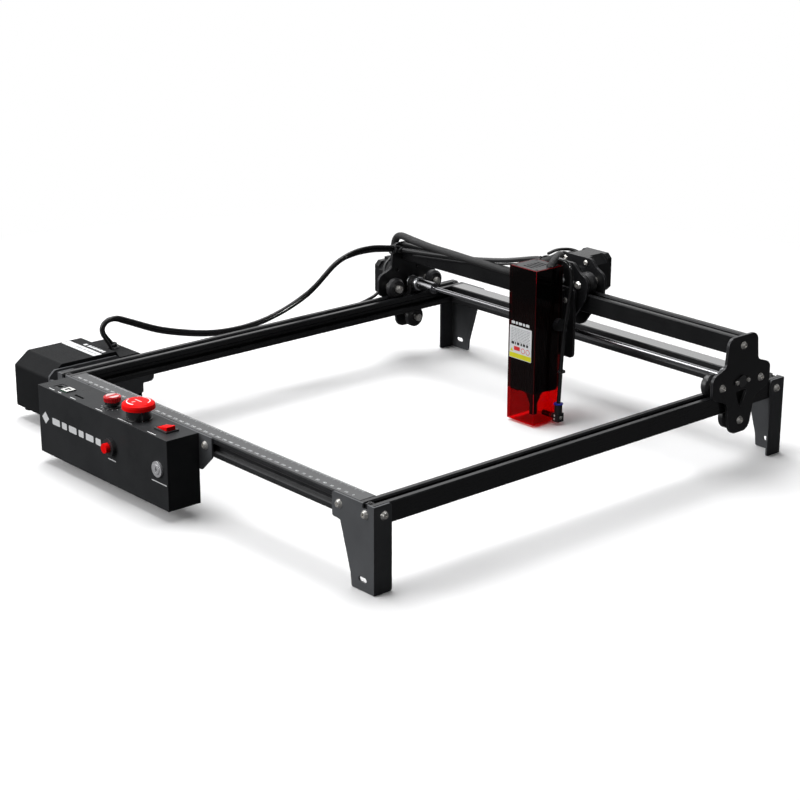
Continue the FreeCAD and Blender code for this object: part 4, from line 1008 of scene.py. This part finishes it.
part = Part("knob_collar")
part.turn([(4.65, 0.0), (8.2, 0.0), (8.2, 0.8), (7.8, 1.2), (4.65, 1.2)],
          (KNOB_X, CONTROLS_Y, DECK_Z), UP, "moulded_black", 40, ring=True)
part.turn([(12.52, 0.0), (13.0, 0.0), (13.0, 0.5), (12.8, 0.8), (12.52, 0.8)],
          (STOP_X, CONTROLS_Y, DECK_Z), UP, "moulded_gloss_black", 48, ring=True)
part.done("base", "plastic_black")

# Two pale segments on the knob, left and right of its middle: (x offset, first angle)
part = Part("knob_marks")
for offset, first in ((-1.3, 98), (1.3, -82)):
    angles = [math.radians(first + 164 * k / 20.0) for k in range(21)]
    outline = [(KNOB_X + offset + 5.7 * math.cos(angle), CONTROLS_Y + 5.7 * math.sin(angle))
               for angle in angles]
    part.raise_faces(outline, [range(21)], flat_on(95.0), 0.25, "pale_pink_mark")
part.done("knob_body", "plastic_red")

# Two curved strips and two short bars on the stop cap
ARC_POINTS = 15
ARC_LIFT = 0.10


def cap_point(radius, angle, lift):
    """Point on the stop cap's shoulder, which falls from radius 9.0 to 13.5."""
    z = 101.7 + (101.1 - 101.7) * (radius - 9.0) / (13.5 - 9.0)
    return bench(STOP_X + radius * math.cos(angle), CONTROLS_Y + radius * math.sin(angle),
                 z + lift)


part = Part("stop_cap_arrows")
n = ARC_POINTS
for first in (20, 200):
    angles = [math.radians(first + 100.0 * k / (n - 1)) for k in range(n)]
    outline = [(10.9, angle) for angle in angles]
    outline += [(12.4 - 0.54 * k / (n - 1), angle) for k, angle in enumerate(reversed(angles))]
    top = [cap_point(radius, angle, ARC_LIFT) for radius, angle in outline]
    foot = [cap_point(radius, angle, -ARC_LIFT) for radius, angle in outline]
    cover = [(i, i + 1, 2 * n - 2 - i, 2 * n - 1 - i) for i in range(n - 1)]
    walls = [(i, 2 * n + i, 2 * n + (i + 1) % (2 * n), (i + 1) % (2 * n)) for i in range(2 * n)]
    under = [tuple(2 * n + corner for corner in face[::-1]) for face in cover]
    part.add(top + foot, cover + walls + under, "label_stock")
for left, right, low, high in ((-335.5, -324.5, -19.7, -18.3), (-330.7, -329.3, -26.8, -22.4)):
    part.bar(left, right, low, high, flat_on(STOP_TOP_Z), 0.14, "pale_pink_mark", corner=0.5)
part.done("stop_cap_body", "plastic_red")

# White frame of the USB socket: two sides, two ends and the tongue
part = Part("usb_insert")
for x_range, y_range, z_range in (
        ((-454.6, -451.9), (-29.8, -18.9), (84.31, 84.6)),
        ((-446.1, -443.4), (-29.8, -18.9), (84.31, 84.6)),
        ((-451.9, -446.1), (-29.8, -27.3), (84.31, 84.6)),
        ((-451.9, -446.1), (-21.4, -18.9), (84.31, 84.6)),
        ((-451.2, -446.8), (-26.2, -22.2), (80.0, 83.6))):
    part.box(x_range, y_range, z_range, "socket_white")
part.done("base", "plastic_black", bevel=0.0002)

# Gland on the left side, and the lead that leaves it for the frame
part = Part("box_gland")
part.turn([(6.0, 0.0), (6.0, 2.0), (5.0, 2.4), (4.6, 7.0), (3.6, 8.6), (2.4, 9.0)],
          (-485.5, -12.0, 44.0), (-1, 0, 0), "moulded_black", 32)
part.tube(BOX_LEAD, 2.2, **CABLE, step=1.5)
part.done("base", "plastic_black")

# ------------------------------------------------------------------ pump
part = Part("pump_label")
part.bar(-622.6, -557.0, 76.0, 87.0, flat_on(PUMP_TOP_Z), LABEL_THICK, "label_stock", corner=1.2)
for left, right in ((-600.0, -588.0), (-586.0, -581.0), (-579.0, -566.0), (-564.5, -560.0)):
    part.bar(left, right, 80.4, 83.0, flat_on(PUMP_TOP_Z + LABEL_THICK), 0.04, "label_grey",
             corner=0.4)
for left, right in ((-601.0, -596.5), (-593.0, -588.5), (-587.0, -583.5), (-582.0, -577.5),
                    (-576.0, -572.5), (-571.0, -566.5), (-565.0, -561.5)):
    part.bar(left, right, 90.6, 95.4, flat_on(PUMP_TOP_Z), 0.05, "white_print", corner=0.8)
part.done("base", "screw_steel")

part = Part("pump_screws")
for y, z in ((24.0, 20.0), (41.0, 69.0), (85.0, 69.0), (129.0, 20.0), (129.0, 58.0)):
    part.turn([(3.0, -0.5), (3.0, 1.5), (2.4, 2.6), (1.5, 3.0), (1.4, 1.8)],
              (-624.0, y, z), (-1, 0, 0), "turned_polymer", 28)
part.done("base", "screw_steel")

# Four feet, and two collars round the hose where it leaves the top
part = Part("pump_seam_and_feet")
for x in (-615.0, -565.0):
    for y in (28.0, 124.0):
        part.turn([(6.0, 0.0), (6.4, -1.5), (6.0, -4.5), (5.2, -5.2)],
                  (x, y, 13.6), UP, "moulded_black", 32)
part.turn([(3.7, -1.5), (6.4, -1.5), (6.4, 0.8), (5.6, 1.6), (3.7, 1.6)],
          (-590.0, 123.5, 66.0), UP, "moulded_black", 36, ring=True)
part.turn([(3.05, -0.2), (4.6, -0.2), (4.6, 3.2), (4.0, 4.0), (3.05, 4.2)],
          (-590.0, 123.2, 67.5), (0, -0.18, 1), "moulded_black", 36, ring=True)
part.done("base", "plastic_black")

part = Part("bracket_screws")
for y in (40.0, 95.0):
    part.turn([(4.4, -0.4), (4.4, 0.7), (3.6, 2.0), (2.4, 2.3), (2.2, 1.0)],
              (-552.9, y, 40.0), (1, 0, 0), "zinc_screw", 32)
for z in (34.0, 52.0):
    part.turn([(4.0, -0.4), (4.0, 0.7), (3.2, 1.8), (2.2, 2.1), (2.0, 0.9)],
              (-510.2, 10.5, z), (-1, 0, 0), "zinc_screw", 32)
part.done("base", "screw_steel")


# ------------------------------------------------------------------ motors
def motor_end(name, body, centre, axis, across):
    """Four screws and a ring on a motor's end; across is level and square to the axis."""
    spacing = 15.5              # screws from the shaft, both ways
    x, y, z = centre
    part = Part(name)
    for s in (-spacing, spacing):
        for t in (-spacing, spacing):
            part.turn([(2.7, -0.5), (2.7, 0.2), (2.3, 0.6), (1.3, 0.7), (1.2, -0.1)],
                      (x + s * across[0], y + s * across[1], z + t), axis, "zinc_screw", 28)
    part.turn([(2.8, -0.3), (6.0, -0.3), (6.0, 0.3), (5.6, 0.6), (3.0, 0.6), (2.8, 0.3)],
              centre, axis, "turned_aluminium", 36, ring=True)
    part.done(body, "screw_steel")


motor_end("y_motor_end", "gantry", (-543.5, BEAM_Y, Y_SHAFT_Z), axis=(-1, 0, 0), across=(0, 1))
motor_end("x_motor_end", "carriage", (CARRIAGE_X, 536.0, X_SHAFT_Z), axis=(0, 1, 0),
          across=(1, 0))

part = Part("y_motor_plug")
part.box((-539.5, -522.5), (484.0, 494.0), (118.6, 120.6), "moulded_black")
part.done("gantry", "plastic_black", bevel=0.0002)
part = Part("x_motor_plug")
part.box((-251.5, -237.5), (516.0, 524.0), (126.2, 128.4), "moulded_black")
part.done("carriage", "plastic_black", bevel=0.0002)

# ------------------------------------------------------------------ laser head
on_head = upright_on(HEAD_FRONT_Y)
on_label = upright_on(HEAD_FRONT_Y - LABEL_THICK)

part = Part("head_label")
part.bar(-262.0, -228.5, 73.0, 109.3, on_head, LABEL_THICK, "label_stock", corner=0.8)
part.bar(-261.6, -228.9, 73.6, 79.0, on_label, 0.05, "label_yellow")
part.bar(-255.0, -246.0, 82.2, 86.6, on_label, 0.05, "label_red")
# Nine rows of grey dashes of random length stand for small print
random.seed(11)
DASH_END_X = -231.0
for row in range(9):
    x = -259.5
    z = 106.4 - 1.75 * row
    while x < -232.0:
        length = random.uniform(1.8, 5.0)
        part.bar(x, min(x + length, DASH_END_X), z, z + 0.75, on_label, 0.04, "label_grey")
        x += length + 0.9
for x, width in ((-259.0, 4.2), (-253.5, 1.4), (-250.5, 3.6), (-245.0, 2.2), (-241.5, 3.4),
                 (-236.5, 3.0)):
    part.bar(x, x + width, 88.6, 91.6, on_label, 0.04, "belt_rubber", corner=0.4)
for x in (-241.2, -234.0):
    circles = [(x + radius * math.cos(math.radians(angle)),
                83.4 + radius * math.sin(math.radians(angle)))
               for radius in (2.4, 3.0) for angle in range(0, 360, 12)]
    faces = [(i, (i + 1) % 30, 30 + (i + 1) % 30, 30 + i) for i in range(30)]
    part.raise_faces(circles, faces, on_label, 0.05, "label_red")
part.raise_faces([(-260.6, 80.4), (-256.2, 80.4), (-258.4, 84.4)], [(0, 1, 2)], on_label, 0.05,
                 "label_yellow")
part.done("head", "screw_steel")

part = Part("head_name_bars")
x = -259.5
for width in (5.2, 3.2, 5.2, 3.2, 5.2):
    part.bar(x, x + width, 111.6, 114.6, on_head, 0.06, "white_print", corner=0.6)
    x += width + 1.3
part.done("head", "screw_steel")

part = Part("fitting_collet")
part.turn([(2.75, 0.0), (5.0, 0.0), (5.2, 0.3), (5.2, 1.1), (4.9, 1.5), (3.4, 1.7), (2.75, 1.6)],
          (-215.2, 450.0, 22.8), UP, "collet_blue", 36, ring=True)
part.done("head", "plastic_black")

part = Part("fitting_screws")
for z in (6.2, 10.2):
    part.turn([(1.3, -0.3), (1.3, 0.4), (0.9, 0.8)], (-216.6, 445.6, z), (0, -1, 0),
              "zinc_screw", 20)
part.turn([(2.1, -0.3), (2.1, 0.3), (1.6, 0.7)], (-211.0, 450.0, 8.2), (1, 0, 0),
          "zinc_screw", 24)
part.done("head", "screw_steel")

part = Part("lens_ring")
part.turn([(1.4, -0.8), (3.2, -0.8), (3.9, 0.4), (4.4, 1.6), (4.4, 3.0), (1.4, 3.0)],
          (CARRIAGE_X, 439.5, 25.0), UP, "turned_brass", 40, ring=True)
part.done("head", "brass")

part = Part("head_grommet")
part.turn([(4.5, 0.0), (5.0, 0.0), (5.0, 0.6), (4.9, 1.6), (4.8, 2.0), (4.5, 1.6)],
          (-228.5, 446.0, 175.9), UP, "moulded_black", 36, ring=True)
part.done("head", "plastic_black")

part = Part("head_cap_screws")
for x, y in ((-259.5, 424.0), (-228.0, 424.0), (-259.5, 455.0)):
    part.turn([(1.9, -0.6), (1.9, 0.1), (1.6, 0.45), (0.9, 0.5), (0.85, -0.1)],
              (x, y, 176.0), UP, "moulded_black", 24)
part.done("head", "plastic_black")

part = Part("carriage_plate_screws")
for x in (-262.5, -226.5):
    part.turn([(3.2, -0.5), (3.2, 0.3), (2.6, 1.0), (1.6, 1.2), (1.5, 0.4)],
              (x, 467.5, 135.0), (0, -1, 0), "zinc_screw", 30)
for x in (-260.0, -229.0):
    part.turn([(2.9, -0.5), (2.9, 0.3), (2.4, 1.4), (1.5, 1.6), (1.4, 0.6)],
              (x, 501.0, 170.7), (0, -1, 0), "zinc_screw", 30)
part.done("carriage", "screw_steel")


# ------------------------------------------------------------------ stage (metres)
def pale_floor():
    """Pale to the camera, dark to bounced light, plain white far from the object."""
    shader, output, principled = new_material("pale_floor")
    where = shader.coords()
    cloud = shader.noise(where, scale=3.0, detail=2.0)
    path = shader.node("LightPath").outputs
    seen = path["Is Camera Ray"]
    pale = shader.mix(shader.span(cloud, (0.3, 0.7)), (0.94, 0.94, 0.945), (0.96, 0.96, 0.965))
    base = shader.mix(seen, (0.10, 0.10, 0.103), pale)
    shader.set(principled, Base_Color=base, Roughness=0.9, Specular_IOR_Level=0.0)
    distance = shader.node("VectorMath", where)
    distance.operation = "LENGTH"
    far = shader.span(distance.outputs["Value"], (0.50, 1.05))
    white = shader.node("Emission", Color=(1, 1, 1), Strength=1.0).outputs[0]
    # Rays that came through the clear shield also see white
    direct = shader.math("MAXIMUM", seen, path["Transparent Depth"], clamp=True)
    fade = shader.times(far, direct, clamp=True)
    mixed = shader.mix_shader(fade, principled.outputs[0], white)
    shader.feed(output.inputs[0], mixed)


mesh = bpy.data.meshes.new("studio_floor")
work = bmesh.new()
bmesh.ops.create_grid(work, x_segments=8, y_segments=8, size=14.0)
work.to_mesh(mesh)
work.free()
floor = bpy.data.objects.new("studio_floor", mesh)
bpy.context.scene.collection.objects.link(floor)
floor.location = (0, 0, -0.0004)
pale_floor()
mesh.materials.append(FINISH["pale_floor"])


def studio_world():
    """White to the camera; other rays see a bright left side and a softer front."""
    world = bpy.data.worlds.new("studio")
    bpy.context.scene.world = world
    world.use_nodes = True
    shader = Shader(world.node_tree)
    output = shader.node("OutputWorld")
    x, y, z = shader.axes(shader.node("TexCoord").outputs["Generated"])
    wall = shader.times(shader.span(z, (0.04, 0.16)),
                        shader.span(x, (-0.15, 0.15), (1.0, 0.0)))
    wall = shader.times(wall, shader.span(z, (0.45, 0.8), (1.0, 0.5)))
    front = shader.times(shader.span(y, (-0.2, -0.9), (0.0, 0.42)),
                         shader.span(x, (0.25, 0.55), (1.0, 0.1)))
    total = shader.math("ADD", shader.math("ADD", wall, front), 0.015)
    lit = shader.node("Background", Color=(1, 1, 1), Strength=total).outputs[0]
    seen = shader.node("Background", Color=(1, 1, 1), Strength=1.0).outputs[0]
    camera_ray = shader.node("LightPath").outputs["Is Camera Ray"]
    shader.feed(output.inputs[0], shader.mix_shader(camera_ray, lit, seen))


studio_world()


def area_light(name, place, aim, size, watts):
    light = bpy.data.lights.new(name, "AREA")
    light.shape = "RECTANGLE"
    light.size, light.size_y = size
    light.energy = watts
    lamp = bpy.data.objects.new(name, light)
    bpy.context.scene.collection.objects.link(lamp)
    lamp.location = place
    lamp.rotation_euler = (Vector(aim) - Vector(place)).to_track_quat("-Z", "Y").to_euler()
    return lamp


area_light("key_top", (-0.45, 0.1, 2.2), aim=(0.0, 0.0, 0.0), size=(1.5, 1.7), watts=53.0)
area_light("front_soft", (-1.1, -2.3, 1.1), aim=(0.0, 0.0, 0.05), size=(1.6, 1.2), watts=24.0)
# The glints only add highlights
for glint in (
        area_light("glint_right", (2.4, -0.5, 1.5), aim=(0.3, 0.0, 0.1), size=(0.30, 0.30),
                   watts=22.0),
        area_light("glint_front", (0.9, -2.6, 1.2), aim=(0.0, -0.2, 0.1), size=(0.30, 0.30),
                   watts=7.0)):
    glint.visible_diffuse = False

# Camera to the front right, turned left by yaw, down by pitch and slightly rolled
lens = bpy.data.cameras.new("camera")
lens.sensor_width = 36.0
lens.lens = 90.3609
lens.clip_start = 0.05
lens.clip_end = 60.0
camera = bpy.data.objects.new("camera", lens)
bpy.context.scene.collection.objects.link(camera)
camera.location = bench(1228.08, -1051.88, 729.36)
yaw, pitch, roll = math.radians(48.624), math.radians(18.688), math.radians(0.15)
forward = Vector((-math.sin(yaw) * math.cos(pitch), math.cos(yaw) * math.cos(pitch),
                  -math.sin(pitch)))
camera.rotation_mode = "QUATERNION"
camera.rotation_quaternion = Quaternion(forward, -roll) @ forward.to_track_quat("-Z", "Y")
bpy.context.scene.camera = camera
bpy.context.scene.view_settings.view_transform = "Standard"
bpy.context.scene.view_settings.look = "None"
